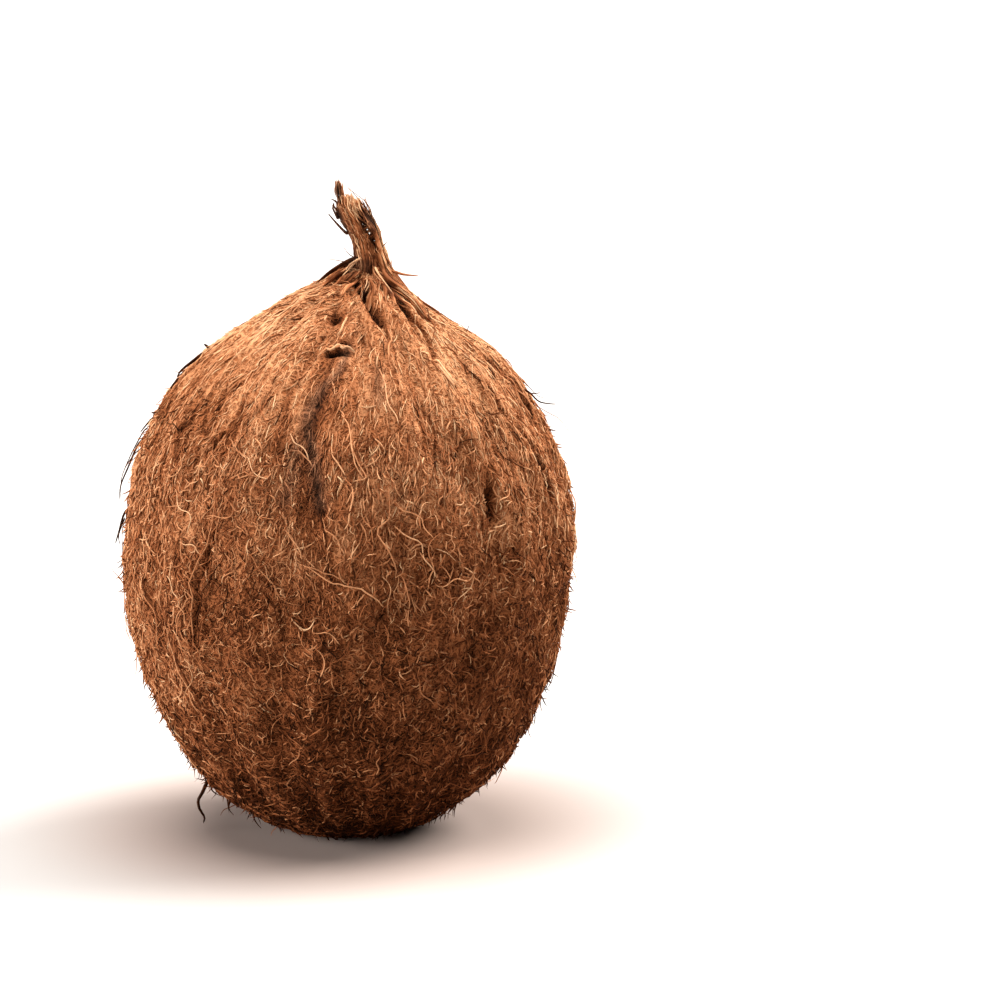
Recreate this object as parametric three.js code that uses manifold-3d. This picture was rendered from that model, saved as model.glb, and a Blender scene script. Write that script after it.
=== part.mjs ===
// A whole brown coconut: an egg-shaped nut in its stripped, matted coat of husk fibre, with a frayed tuft
// of fibre left at the stem end. It grew as one piece, so it is one solid. It stands on a small flat spot.
//
// Millimetres, +Z up. The origin is the centre of the flat spot. Round the nut, an angle of 0 faces -Y and
// grows towards +X. The side that faces -Y is the one with the dark seam and the two small pits.

import * as THREE from "three";
import { mergeVertices } from "three/addons/utils/BufferGeometryUtils.js";
import Module from "manifold-3d";

// Driving sizes of the nut
const EQUATOR_RADIUS = 58;
const EQUATOR_HEIGHT = 72.6;
const CROWN_HEIGHT = 144.9;
const REST_RADIUS = 15;
// Roundness of the two halves: the lower one is full, the upper one runs out to a blunt cone
const LOWER_POWER = 1.78;
const LOWER_ROUND = 0.4;
const UPPER_POWER = 2.5;
const UPPER_ROUND = 0.912;

// Relief of the coat
const LOBES = 3;
const LOBE_RISE = 0.9;
const LOBE_TURN = -0.9;
const RIBS = 17;
const RIB_RISE = 0.7;
const RIB_SWAY = 1.6;
const FELT_RISE = 0.55;
const FELT_LUMPS = 21;
const FELT_ROW = 2.3;
// The relief fades in over this height at the flat spot, and between these radii at the crown
const REST_FADE = 16;
const CROWN_FADE = [2, 22];
// Furrows that run down the nut: angle round it in degrees, middle height, half length, half width, depth,
// and lean in degrees for each millimetre up
const FURROWS = [
  { angle: -36, height: 66, reach: 26, width: 2.4, depth: 1.2, lean: 0.2 },
  { angle: -6, height: 106, reach: 22, width: 4.2, depth: 1.3, lean: 0 },
  { angle: 42, height: 91, reach: 8, width: 2.4, depth: 1.8, lean: 0 },
  { angle: 54, height: 118, reach: 24, width: 2.6, depth: 1.6, lean: 0.35 },
  { angle: 70, height: 108, reach: 22, width: 2.8, depth: 1.9, lean: 0.4 },
  { angle: 118, height: 92, reach: 34, width: 3.2, depth: 1.6, lean: -0.1 },
  { angle: 171, height: 74, reach: 38, width: 3.4, depth: 1.5, lean: 0.1 },
  { angle: 226, height: 104, reach: 26, width: 2.8, depth: 1.7, lean: -0.1 },
  { angle: 268, height: 84, reach: 32, width: 3.0, depth: 1.4, lean: 0 },
];
// Small pits, wider than they are tall: angle in degrees, height, half width, depth
const PITS = [
  { angle: -5, height: 134.5, width: 2.4, depth: 1.5 },
  { angle: 2, height: 127.5, width: 3.6, depth: 2.2 },
];
const PIT_TALLNESS = 0.7;

// Faces of the nut: columns round it and rows from the flat spot to the crown
const COLUMNS = 70;
const ROWS = 35;
const FINEST_FACE = 0.06;

// Fibres that stand out of the coat, larger than life
const COAT_FIBRES = 104;
const FIBRE_RADIUS = 0.62;
const FIBRE_STEPS = 4;
// Heights between which they are rooted, and the lowest that one may hang
const ROOT_HEIGHTS = [14, 132];
const LOWEST_FIBRE = 1.2;
// How deep the root is sunk, and how far the next point lies off the coat
const ROOT_DEPTH = 1.3;
const FIBRE_OFF = 0.55;
// Every sixth fibre stands well clear of the coat at its tip
const FREE_TIP_EVERY = 6;
const FREE_TIP_LIFT = [3, 5];
const TIP_LIFT = [1, 2.2];
const FIBRE_LENGTH = [12, 22];
// Waver of a fibre's heading in radians, low on the nut and below the tuft
const LOW_CURL = 0.8;
const HIGH_CURL = 0.14;
const HAIR_RADIUS = 0.7;
const HAIR_DEPTH = 1.5;

// Tuft: where its foot is, how tall it stands and which way its tip leans
const TUFT_FOOT = new THREE.Vector3(6.4, 0, 137);
const TUFT_NECK_HEIGHT = 144;
const TUFT_TOP = 167.5;
const TUFT_LEAN = 7;
const TUFT_FOOT_RADIUS = 8.6;
const TUFT_NECK_RADIUS = 2.9;
const TUFT_CORE_TOP = 156;
const TUFT_CORE_RADIUS = 9.4;

// Half width and half thickness of a strap, as shares of its size in the table
const STRAP_WIDTH = 0.66;
const STRAP_THICKNESS = 0.36;

const SKIRT_ROOTS = 10;
const SKIRT_SECTION = [1.15, 0.95];
// Shares of the outline between which the roots of the tuft come down on the coat, and how far each runs on
const SKIRT_LANDING = [0.83, 0.87];
const SKIRT_RUN = 0.1;
const SKIRT_OFF = [0.9, 1.0, 1.4];
const TWIG_SECTION = [0.8, 0.6];

const SEED = 4127;

const wasm = await Module();
wasm.setup();

let drawn = SEED;

// A random number from low to high. Each call draws the next one of a seeded row.
function draw(low, high) {
  drawn += 1;
  return low + (high - low) * THREE.MathUtils.seededRandom(drawn);
}

const radians = THREE.MathUtils.degToRad;

// Depth of the full lower form below the widest line. The flat spot cuts it where it is REST_RADIUS wide.
const LOWER_DEPTH =
  EQUATOR_HEIGHT /
  (1 - (REST_RADIUS / EQUATOR_RADIUS) ** (1 / LOWER_ROUND)) ** (1 / LOWER_POWER);

// Radius of the plain nut at a height
function radiusAt(height) {
  if (height < EQUATOR_HEIGHT) {
    const down = (EQUATOR_HEIGHT - height) / LOWER_DEPTH;
    return EQUATOR_RADIUS * (1 - down ** LOWER_POWER) ** LOWER_ROUND;
  }
  const up = Math.min((height - EQUATOR_HEIGHT) / (CROWN_HEIGHT - EQUATOR_HEIGHT), 1);
  return EQUATOR_RADIUS * (1 - up ** UPPER_POWER) ** UPPER_ROUND;
}

// The plain nut's outline from the edge of the flat spot to the crown, as a curve of (radius, height)
function outlineCurve() {
  const samples = 160;
  const points = [];
  for (let i = 0; i <= samples; i += 1) {
    const height = (CROWN_HEIGHT * (1 - Math.cos((Math.PI * i) / samples))) / 2;
    points.push(new THREE.Vector2(radiusAt(height), height));
  }
  const curve = new THREE.SplineCurve(points);
  curve.arcLengthDivisions = 4 * samples;
  return curve;
}

const outline = outlineCurve();
const OUTLINE_LENGTH = outline.getLength();

// Share of the outline's length at which it reaches a height
function shareAt(height) {
  let low = 0;
  let high = 1;
  for (let i = 0; i < 20; i += 1) {
    const middle = (low + high) / 2;
    if (outline.getPointAt(middle).y < height) low = middle;
    else high = middle;
  }
  return low;
}

// Difference of two angles, from -pi to pi
function turn(a, b) {
  return Math.atan2(Math.sin(a - b), Math.cos(a - b));
}

// How far the coat stands off the plain nut: three lobes, ribs that sway as they run down it, short lumps
// of matted felt, furrows and pits. It fades to nothing at the flat spot and at the crown.
function reliefAt(angle, height) {
  const radius = radiusAt(height);
  const fromRest = THREE.MathUtils.smoothstep(height, 0, REST_FADE);
  const fromCrown = THREE.MathUtils.smoothstep(radius, ...CROWN_FADE);
  const lobes = LOBE_RISE * Math.cos(LOBES * (angle - LOBE_TURN));
  const sway = Math.sin(height / 15) + Math.sin(2 * angle + height / 27);
  const ribs = RIB_RISE * Math.cos(RIBS * angle + RIB_SWAY * sway);
  const feltRow = Math.sin(height / FELT_ROW + 2 * Math.sin(3 * angle));
  const felt = FELT_RISE * Math.cos(FELT_LUMPS * angle + 2 * Math.sin(height / 9)) * feltRow;
  let cut = 0;
  for (const furrow of FURROWS) {
    const rise = height - furrow.height;
    const line = radians(furrow.angle + furrow.lean * rise);
    const across = (turn(angle, line) * radius) / furrow.width;
    const along = rise / furrow.reach;
    cut += furrow.depth * Math.exp(-across * across - along ** 4);
  }
  for (const pit of PITS) {
    const across = (turn(angle, radians(pit.angle)) * radius) / pit.width;
    const along = (height - pit.height) / (PIT_TALLNESS * pit.width);
    cut += pit.depth * Math.exp(-across * across - along * along);
  }
  return fromRest * fromCrown * (lobes + ribs + felt - cut);
}

// A point on the coat, by angle and by share of the outline from rest to crown, lifted along the normal
function onCoat(angle, share, lift = 0) {
  const at = THREE.MathUtils.clamp(share, 0, 1);
  const { x: radius, y: height } = outline.getPointAt(at);
  const along = outline.getTangentAt(at);
  const off = reliefAt(angle, height) + lift;
  const reach = radius + along.y * off;
  return new THREE.Vector3(
    reach * Math.sin(angle),
    -reach * Math.cos(angle),
    height - along.x * off,
  );
}

// A mesh geometry as a solid for joining
function solidOf(geometry) {
  geometry.deleteAttribute("normal");
  geometry.deleteAttribute("uv");
  const merged = mergeVertices(geometry, 1e-4);
  return new wasm.Manifold(
    new wasm.Mesh({
      numProp: 3,
      vertProperties: merged.attributes.position.array,
      triVerts: new Uint32Array(merged.index.array),
    }),
  );
}

// The nut: the outline turned round its axis, with the relief of the coat raised from it
function nut() {
  const profile = [new THREE.Vector2(0, 0)];
  profile.push(...outline.getSpacedPoints(ROWS));
  profile[profile.length - 1].x = 0;
  const geometry = new THREE.LatheGeometry(profile, COLUMNS);
  geometry.rotateX(Math.PI / 2);
  const place = geometry.attributes.position;
  const rings = profile.length;
  for (let i = 0; i < place.count; i += 1) {
    const row = (i % rings) - 1;
    if (row < 1 || row === ROWS) continue;
    const angle = Math.atan2(place.getX(i), -place.getY(i));
    const point = onCoat(angle, row / ROWS);
    place.setXYZ(i, point.x, point.y, point.z);
  }
  return solidOf(geometry);
}

// A tapering strand along a curve: each ring of a plain cylinder is moved to its place on the curve.
// Its section is wide times thick, and its width follows shape(share), where share runs from root to tip.
function strand(points, wide, thick, shape, sides, steps) {
  const curve = new THREE.CatmullRomCurve3(points);
  const frames = curve.computeFrenetFrames(steps);
  const geometry = new THREE.CylinderGeometry(1, 1, 1, sides, steps);
  const place = geometry.attributes.position;
  for (let i = 0; i < place.count; i += 1) {
    const ring = Math.round((0.5 - place.getY(i)) * steps);
    const scale = shape(ring / steps);
    const point = curve
      .getPointAt(ring / steps)
      .addScaledVector(frames.binormals[ring], -place.getX(i) * wide * scale)
      .addScaledVector(frames.normals[ring], place.getZ(i) * thick * scale);
    place.setXYZ(i, point.x, point.y, point.z);
  }
  return solidOf(geometry);
}

const taper = (share) => 1 - 0.6 * share;

// A fibre of the coat: its root is sunk well in, it runs downhill with a wavering heading, and it draws
// slowly away from the surface until its tip stands free
function coatFibre(angle, share, length, heading, waver, tipLift) {
  const step = length / FIBRE_STEPS;
  const points = [];
  let at = share;
  let round = angle;
  let way = heading;
  for (let i = 0; i <= FIBRE_STEPS; i += 1) {
    const free = Math.max(i - 1, 0) / (FIBRE_STEPS - 1);
    const lift = i === 0 ? -ROOT_DEPTH : FIBRE_OFF + tipLift * free ** 1.4;
    const point = onCoat(round, at, lift);
    point.z = Math.max(point.z, LOWEST_FIBRE);
    points.push(point);
    way += draw(-waver, waver);
    const radius = Math.max(outline.getPointAt(THREE.MathUtils.clamp(at, 0, 1)).x, 6);
    at -= (step * Math.cos(way)) / OUTLINE_LENGTH;
    round += (step * Math.sin(way)) / radius;
  }
  return strand(points, FIBRE_RADIUS, FIBRE_RADIUS, taper, 3, FIBRE_STEPS);
}

// Fibres over the whole coat, set out evenly by a golden-angle spiral: nearly straight below the tuft,
// where they run down from it, and curlier towards the flat spot
function coatFibres() {
  const golden = Math.PI * (3 - Math.sqrt(5));
  const fibres = [];
  for (let i = 0; i < COAT_FIBRES; i += 1) {
    // Even over the height, which on a ball is even over its surface
    const height = THREE.MathUtils.lerp(...ROOT_HEIGHTS, (i + 0.5) / COAT_FIBRES);
    const share = shareAt(height);
    const calm = THREE.MathUtils.smoothstep(share, 0.3, 0.8);
    const curl = THREE.MathUtils.lerp(LOW_CURL, HIGH_CURL, calm);
    const tipLift = draw(...(i % FREE_TIP_EVERY === 0 ? FREE_TIP_LIFT : TIP_LIFT));
    const length = draw(...FIBRE_LENGTH);
    fibres.push(coatFibre(i * golden, share, length, draw(-curl, curl), curl, tipLift));
  }
  return fibres;
}

// Loose hairs that stand off the outline: dark strands down the left side, a hooked one at the lower left
// and a spray at the right shoulder. Each is a root on the coat and the offsets that it follows.
const LOOSE_HAIRS = [
  { angle: -96, share: 0.67, path: [[-2.2, 0, -7], [-3.4, 0, -15], [-2.6, 0, -23]] },
  { angle: -92, share: 0.59, path: [[-2.4, 0, -6], [-3.2, 0, -11], [-5.4, 0, -17]] },
  { angle: -78, share: 0.27, path: [[-3.6, 0, -2.5], [-4.8, 0, -6.5], [-3, 0, -11.5]] },
  { angle: -60, share: 0.24, path: [[-2, -1, -3], [-1.2, -2, -6], [-2.4, -2, -8]] },
  { angle: 84, share: 0.75, path: [[4, 0, -1.5], [8, 0, -3.4], [12, 0, -4.2]] },
  { angle: 78, share: 0.77, path: [[4, -1, -2.4], [8, -1, -5.5], [11, -1, -9]] },
  { angle: 168, share: 0.5, path: [[0.5, 3, -4], [0, 4, -9], [1, 3.4, -14]] },
  { angle: 205, share: 0.3, path: [[-1, 3.2, -3], [-2, 4.4, -7], [-1.4, 4, -11]] },
];

function looseHairs() {
  return LOOSE_HAIRS.map(({ angle, share, path }) => {
    const round = radians(angle);
    const foot = onCoat(round, share);
    const points = [onCoat(round, share, -HAIR_DEPTH), foot];
    points.push(...path.map(([x, y, z]) => new THREE.Vector3(x, y, z).add(foot)));
    return strand(points, HAIR_RADIUS, HAIR_RADIUS, taper, 3, 6);
  });
}

// Straps of the tuft: each rises from its own side of the foot, closes in at the neck and leans to -X at
// the tip. Around is the side of the foot in degrees, spread how far the tip flares from the middle line.
const STRAPS = [
  { around: 270, wide: 3.4, top: TUFT_TOP, spread: 0.6 },
  { around: 222, wide: 3.2, top: 160, spread: 1.6 },
  { around: 325, wide: 3.6, top: 163, spread: -0.4 },
  { around: 15, wide: 3.4, top: 162.5, spread: 0.8 },
  { around: 70, wide: 3.2, top: 159.5, spread: 2.2 },
  { around: 120, wide: 3.4, top: 161, spread: 0.9 },
  { around: 170, wide: 3.4, top: 158, spread: 1.0 },
];

// The middle line of the tuft: upright to the neck, and from there it leans to -X as it rises
function tuftMiddle(height) {
  const rise = Math.max(height - TUFT_NECK_HEIGHT, 0) / (TUFT_TOP - TUFT_NECK_HEIGHT);
  return new THREE.Vector3(TUFT_FOOT.x - TUFT_LEAN * rise ** 1.5, TUFT_FOOT.y, height);
}

function strap({ around, wide, top, spread }) {
  const side = radians(around);
  const out = new THREE.Vector3(Math.sin(side), -Math.cos(side), 0);
  const points = [];
  const stations = 6;
  for (let i = 0; i < stations; i += 1) {
    const rise = i / (stations - 1);
    const height = THREE.MathUtils.lerp(TUFT_FOOT.z - 2, top, rise);
    const closing = THREE.MathUtils.smoothstep(height, TUFT_FOOT.z, TUFT_NECK_HEIGHT + 4);
    const off = THREE.MathUtils.lerp(TUFT_FOOT_RADIUS, TUFT_NECK_RADIUS, closing);
    const flare = spread * THREE.MathUtils.smoothstep(rise, 0.5, 1) - 1.6 * rise ** 4;
    points.push(tuftMiddle(height).addScaledVector(out, off + flare));
  }
  const blade = (share) => 1.15 - 0.85 * share ** 2.4;
  return strand(points, STRAP_WIDTH * wide, STRAP_THICKNESS * wide, blade, 5, 5);
}

// Roots of the tuft: fibres that run from its foot down over the shoulder, like a skirt
function skirt() {
  const roots = [];
  for (let i = 0; i < SKIRT_ROOTS; i += 1) {
    const side = (2 * Math.PI * (i + draw(-0.25, 0.25))) / SKIRT_ROOTS;
    const out = new THREE.Vector3(Math.sin(side), -Math.cos(side), 0);
    const neck = tuftMiddle(TUFT_NECK_HEIGHT).addScaledVector(out, TUFT_NECK_RADIUS - 0.4);
    const foot = tuftMiddle(TUFT_FOOT.z + 2.4).addScaledVector(out, TUFT_FOOT_RADIUS - 0.4);
    const landing = draw(...SKIRT_LANDING);
    const path = [neck, foot];
    path.push(onCoat(side, landing, SKIRT_OFF[0]));
    path.push(onCoat(side, landing - SKIRT_RUN / 2, SKIRT_OFF[1]));
    path.push(onCoat(side + draw(-0.06, 0.06), landing - SKIRT_RUN, SKIRT_OFF[2]));
    roots.push(strand(path, ...SKIRT_SECTION, taper, 3, 5));
  }
  return roots;
}

// Frayed twigs at the tuft: two at the neck, two at the foot
const TWIGS = [
  [[2.4, 0, 152], [-2.2, -0.5, 155.4], [-4.8, -0.5, 159.2]],
  [[2.8, 1, 159], [4.6, 1, 162], [4.4, 1, 164.8]],
  [[9.4, 0, 141.6], [14.4, 0, 142.8], [19.4, 0, 142.2]],
  [[3, -1, 144.5], [-3.4, -1, 143], [-9.6, -1, 138.8]],
];

function twigs() {
  return TWIGS.map((path) => {
    const points = path.map(([x, y, z]) => new THREE.Vector3(x, y, z));
    return strand(points, ...TWIG_SECTION, taper, 3, 4);
  });
}

// A core that the straps stand out of, so that the tuft has no sealed gap inside it
function tuftCore() {
  const shares = [0, 0.25, 0.5, 0.75, 1];
  const lowest = TUFT_FOOT.z - 3;
  const points = shares.map((share) =>
    tuftMiddle(THREE.MathUtils.lerp(lowest, TUFT_CORE_TOP, share)),
  );
  const cone = (share) => 1 - 0.8 * share ** 0.45;
  return strand(points, TUFT_CORE_RADIUS, TUFT_CORE_RADIUS, cone, 7, 5);
}

function coconut() {
  const pieces = [
    nut(),
    tuftCore(),
    ...STRAPS.map(strap),
    ...skirt(),
    ...twigs(),
    ...coatFibres(),
    ...looseHairs(),
  ];
  // The largest body is the outer skin: taking it alone fills the sealed gaps between the straps
  const bodies = wasm.Manifold.union(pieces).simplify(FINEST_FACE).decompose();
  const whole = bodies.reduce((a, b) => (a.volume() > b.volume() ? a : b));
  const { vertProperties, triVerts } = whole.getMesh();
  const geometry = new THREE.BufferGeometry();
  geometry.setAttribute("position", new THREE.BufferAttribute(vertProperties, 3));
  geometry.setIndex(new THREE.BufferAttribute(triVerts, 1));
  geometry.computeVertexNormals();
  const coir = new THREE.MeshStandardMaterial({ color: 0x8a5532, roughness: 0.92, metalness: 0 });
  const mesh = new THREE.Mesh(geometry, coir);
  mesh.name = "coconut";
  return mesh;
}

const part = new THREE.Group();
part.add(coconut());

export default part;
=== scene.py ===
import bpy
import numpy as np
from bpy.props import FloatProperty, FloatVectorProperty, IntProperty, PointerProperty
from bpy.types import Operator, Panel, PropertyGroup
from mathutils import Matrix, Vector


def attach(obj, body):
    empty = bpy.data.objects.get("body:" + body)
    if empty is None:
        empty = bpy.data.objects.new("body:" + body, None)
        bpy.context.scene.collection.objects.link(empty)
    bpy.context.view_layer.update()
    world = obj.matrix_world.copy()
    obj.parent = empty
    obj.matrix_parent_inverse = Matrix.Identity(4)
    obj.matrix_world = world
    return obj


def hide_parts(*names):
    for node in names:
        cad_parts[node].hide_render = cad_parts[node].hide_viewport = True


# Dresses a whole brown coconut: an egg-shaped nut in a matted coat of husk fibre with a frayed tuft at its
# stem end. All shapes are worked out in metres with numpy. Round the nut, an angle of 0 faces -Y and grows
# towards +X. A share runs along the nut's outline, from 0 at the edge of the flat spot to 1 at the crown.

bl_info = {
    "name": "Brown coconut",
    "version": (1, 0, 0),
    "blender": (4, 5, 0),
    "location": "View3D > Sidebar > Coconut",
    "description": "Builds the matted coat, the loose fibres and the tuft of a whole brown coconut",
    "category": "Object",
}

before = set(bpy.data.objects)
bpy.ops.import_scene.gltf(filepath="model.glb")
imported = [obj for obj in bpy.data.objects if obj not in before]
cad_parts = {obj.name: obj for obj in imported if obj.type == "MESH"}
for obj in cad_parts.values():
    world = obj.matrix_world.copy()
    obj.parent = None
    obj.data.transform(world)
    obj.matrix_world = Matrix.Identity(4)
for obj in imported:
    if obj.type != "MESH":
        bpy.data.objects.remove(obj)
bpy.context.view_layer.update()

MM = 0.001
TAU = 2 * np.pi
NODE = "coconut"
BODY = "root"
BAKE_MAP = "OFBake"

# The plain nut, as the solid has it
EQUATOR_RADIUS = 58 * MM
EQUATOR_HEIGHT = 72.6 * MM
CROWN_HEIGHT = 144.9 * MM
REST_RADIUS = 15 * MM
LOWER_POWER = 1.78
LOWER_ROUND = 0.4
UPPER_POWER = 2.5
UPPER_ROUND = 0.912

# Relief of the coat, as the solid has it
LOBES = 3
LOBE_RISE = 0.9 * MM
LOBE_TURN = -0.9
RIBS = 17
RIB_RISE = 0.7 * MM
RIB_SWAY = 1.6
# Heights over which the ribs sway, the second one also with the angle
SWAY_WAVES = (15 * MM, 27 * MM)
REST_FADE = 16 * MM
CROWN_FADE = (2 * MM, 22 * MM)
# Broad swells and hollows of the coat: angle in degrees and height of the middle, half width in degrees,
# half height, rise
SWELLS = (
    (-92, 119, 34, 11, 1.1),
    (-88, 84, 40, 17, -1.6),
    (90, 121, 34, 8.5, 1.8),
)
# Furrows: angle in degrees, middle height, half length, half width, depth, lean in degrees for each mm down
FURROWS = (
    (-6, 106, 22, 3.4, 0.8, 0.0),
    (-8, 60, 9, 1.0, 0.25, 0.1),
    (42, 91.5, 5, 0.9, 2.0, 0.0),
    (118, 92, 34, 1.8, 1.1, 0.1),
    (171, 74, 38, 2.0, 1.0, -0.1),
    (226, 104, 26, 1.6, 1.2, 0.1),
    (268, 84, 32, 1.8, 1.0, 0.0),
)
# How far a furrow wavers, in degrees for each mm of its half length, and over what height
FURROW_WAVER = 0.07
FURROW_WAVE = 9 * MM
# Pits, wider than they are tall: angle in degrees, height, half width, half height, depth. From the first
# height below to the second, the rows of faces are so many times as close as elsewhere, and they fade to
# that over a share of the outline
PITS = (
    (-4, 135.4, 1.5, 0.8, 2.0),
    (3, 129.6, 1.4, 0.55, 2.0),
    (-1, 127.9, 2.6, 0.65, 2.8),
)
PIT_HEIGHTS = (125 * MM, 138 * MM)
PIT_ROWS = 4
PIT_FADE = 0.01
# Places at which the outline is measured, and the reach of a tangent to it
OUTLINE_SAMPLES = 4000
TANGENT_REACH = 0.4 * MM
# Cracks: half width, depth, and places from the top down as angle in degrees and height
CRACKS = (
    (0.5, 0.7, ((3, 125), (-2, 121), (-7, 117))),
    (0.5, 0.4, ((-9, 114), (-10, 110), (-7, 105))),
    (0.5, 0.4, ((-12, 104), (-12, 99), (-14, 93))),
    (0.5, 0.7, ((-6, 101), (-5, 97), (-3, 91))),
    (0.6, 0.8, ((-33, 85), (-34, 78), (-37, 72), (-37, 66), (-39, 58))),
    (0.6, 0.8, ((-52, 131), (-56, 128.5), (-59, 126.5))),
    (0.6, 0.9, ((-39, 119), (-43, 117), (-46, 112))),
    (0.5, 0.8, ((-76, 123), (-75, 118), (-73, 114))),
    (0.5, 0.9, ((-35, 109), (-37, 106), (-40, 103))),
    (0.5, 0.8, ((-56, 107), (-59, 104), (-61, 101))),
    (0.5, 0.7, ((-46, 115), (-50, 111), (-52, 107))),
    (0.5, 0.6, ((-30, 128), (-35, 124), (-38, 120))),
    (0.5, 0.6, ((-62, 122), (-66, 117), (-68, 112))),
    (0.4, 0.6, ((-34, 99), (-32, 95))),
    (0.5, 0.8, ((-14.5, 69), (-13.5, 64), (-14, 59))),
    (0.6, 1.2, ((72, 122), (75, 116), (75, 112), (76, 106))),
    (0.7, 1.3, ((78, 122), (83, 116), (83, 112), (87, 108))),
    (0.6, 1.1, ((59, 117), (58, 113), (61, 107))),
    (0.6, 1.1, ((48, 114), (49, 108), (49, 102))),
    (0.8, 1.6, ((62, 105), (65, 101), (65, 96), (66, 90))),
    (0.6, 1.0, ((58, 138), (54, 133), (51, 130), (44, 125))),
    (0.5, 0.9, ((29, 116), (29.5, 112), (29.5, 108), (28, 104), (27, 99))),
    (0.6, 1.2, ((142, 132), (138, 122), (141, 113))),
    (0.7, 1.3, ((205, 120), (199, 110), (201, 101), (196, 94))),
    (0.6, 1.1, ((246, 131), (249, 122), (256, 115))),
    (0.7, 1.2, ((288, 122), (281, 114), (282, 106))),
)
# Weathered streaks, greyer and darker than the coat: half width, strength, and places from the top down as
# angle in degrees and height
STREAKS = (
    (1.5, 0.5, ((4, 127), (-1, 122), (-6, 119), (-8, 117), (-10, 114))),
    (1.9, 0.5, ((-7, 118), (-10, 113), (-10, 110), (-8, 107), (-7, 105), (-6, 101), (-5, 97), (-4, 93))),
    (2.2, 0.35, ((-12, 106), (-12, 101), (-13, 94))),
    (2.2, 0.25, ((16, 121), (15, 116))),
    (2.4, 0.5, ((132, 120), (126, 108), (124, 96), (120, 84))),
    (2.0, 0.5, ((212, 126), (216, 114), (214, 100))),
    (2.6, 0.45, ((262, 110), (266, 98), (262, 84), (264, 72))),
)
# Patches of paler or darker coat: middle as angle in degrees and height, half width in degrees, half
# height, change of tone. The first six are painted light and shade: the left shoulder darker, the lower
# left, the left of the crown and the right shoulder paler, and the crown under the tuft darker as its
# painted shadow. The rest are the coat's own tone
LIGHT_SHADE_AND_TONE_PATCHES = (
    (-66, 112, 26, 12, -0.17),
    (-62, 44, 40, 26, 0.22),
    (4, 131, 30, 8, -0.18),
    (-56, 131, 24, 7, 0.07),
    (0, 141, 24, 3.5, -0.16),
    (60, 126, 26, 10, 0.06),
    (-8, 100, 22, 12, 0.03),
    (120, 60, 34, 22, 0.05),
    (165, 108, 26, 16, -0.07),
    (225, 48, 30, 20, -0.05),
    (240, 120, 24, 14, 0.05),
)
# Crevices that run down from the tuft between its roots: both ends as x and y, half width, depth
CREVICES = (
    (3.4, -6.0, 10.1, -19.0, 1.2, 1.8),
    (9.6, -4.0, 15.3, -9.9, 0.9, 1.4),
    (12.5, -2.5, 20.3, -20.3, 0.5, 1.0),
    (14.0, 0.0, 19.0, -3.5, 0.7, 1.1),
    (17.0, -7.0, 21.5, -13.0, 0.5, 0.9),
    (-1.0, -5.0, -8.0, -8.5, 0.8, 0.9),
    (0.0, 5.0, -6.5, 15.0, 0.8, 1.2),
    (8.5, 6.5, 12.0, 18.0, 0.9, 1.3),
    (-2.0, 2.0, -14.0, 5.0, 0.6, 1.0),
)

# The surface under the loose fibres lies this much below the outside of the felt, but for the flat spot
FELT_DEPTH = 1.2 * MM
FELT_FADE = 8 * MM
# Fine relief in layers of noise: rise in mm, columns and rows. The streaks run down from the tuft and
# set in between two shares, where the lumps lose most of their rise
STREAK_LAYERS = ((0.5, 110, 9), (0.35, 190, 14))
LUMP_LAYERS = ((0.45, 60, 40), (0.3, 130, 80))
STREAK_SHARES = (0.55, 0.8)
LUMP_LOSS = 0.7

# Tone of the coat at heights up to the crown, from 0 (painted shade deep in a crack) to 1 (straw). It is
# partly the coat's own colour and partly painted shade towards the foot and painted light at the crown.
# The noise added to it: soft patches all over, and fine streaks that run down from the tuft
TONES_WITH_LIGHT_AND_SHADE = ((0, 0.18), (18, 0.25), (45, 0.38), (75, 0.51), (105, 0.62), (128, 0.76), (145, 0.74))
PATCH_LAYERS = ((0.06, 9, 7), (0.06, 28, 22))
STREAK_TONE_LAYERS = ((0.1, 230, 26),)
# Dark seams between the streaks, painted shade in the narrow gaps between clumps of fibre: loss of tone,
# columns and rows of their noise, and the values of the noise and the shares between which they set in
SEAM_SHADE = 0.18
SEAM_GRID = (150, 9)
SEAM_NOISE = (0.5, 0.85)
SEAM_SHARES = (0.5, 0.7)
# Painted shade in a cut: loss of tone for each mm of depth, down to a limit, and once more in the deepest
# ones
CUT_SHADE = 0.3
CUT_LIMIT = 1.4
DEEP_CUT_SHADE = 0.4
DEEP_CUT = (1.5, 2.2)
# The most that fibre is weathered, from 0 to 1
MOST_ASH = 0.85

# Tuft: middle of its foot, and its outline as seen by the camera: height, middle and half width
TUFT_FOOT = np.array((7.8, 0.0)) * MM
TUFT_OUTLINE = (
    (137, 8.0, 8.8),
    (141, 8.0, 7.4),
    (144.6, 7.2, 5.4),
    (148.2, 6.4, 4.7),
    (152.3, 5.4, 4.1),
    (154.4, 4.4, 4.2),
    (156.5, 3.3, 4.3),
    (158.8, 1.6, 4.4),
    (160.6, 0.8, 4.1),
    (162.7, 0.7, 3.2),
    (167.0, -1.4, 1.2),
)
TUFT_DEPTH = 0.8
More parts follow.
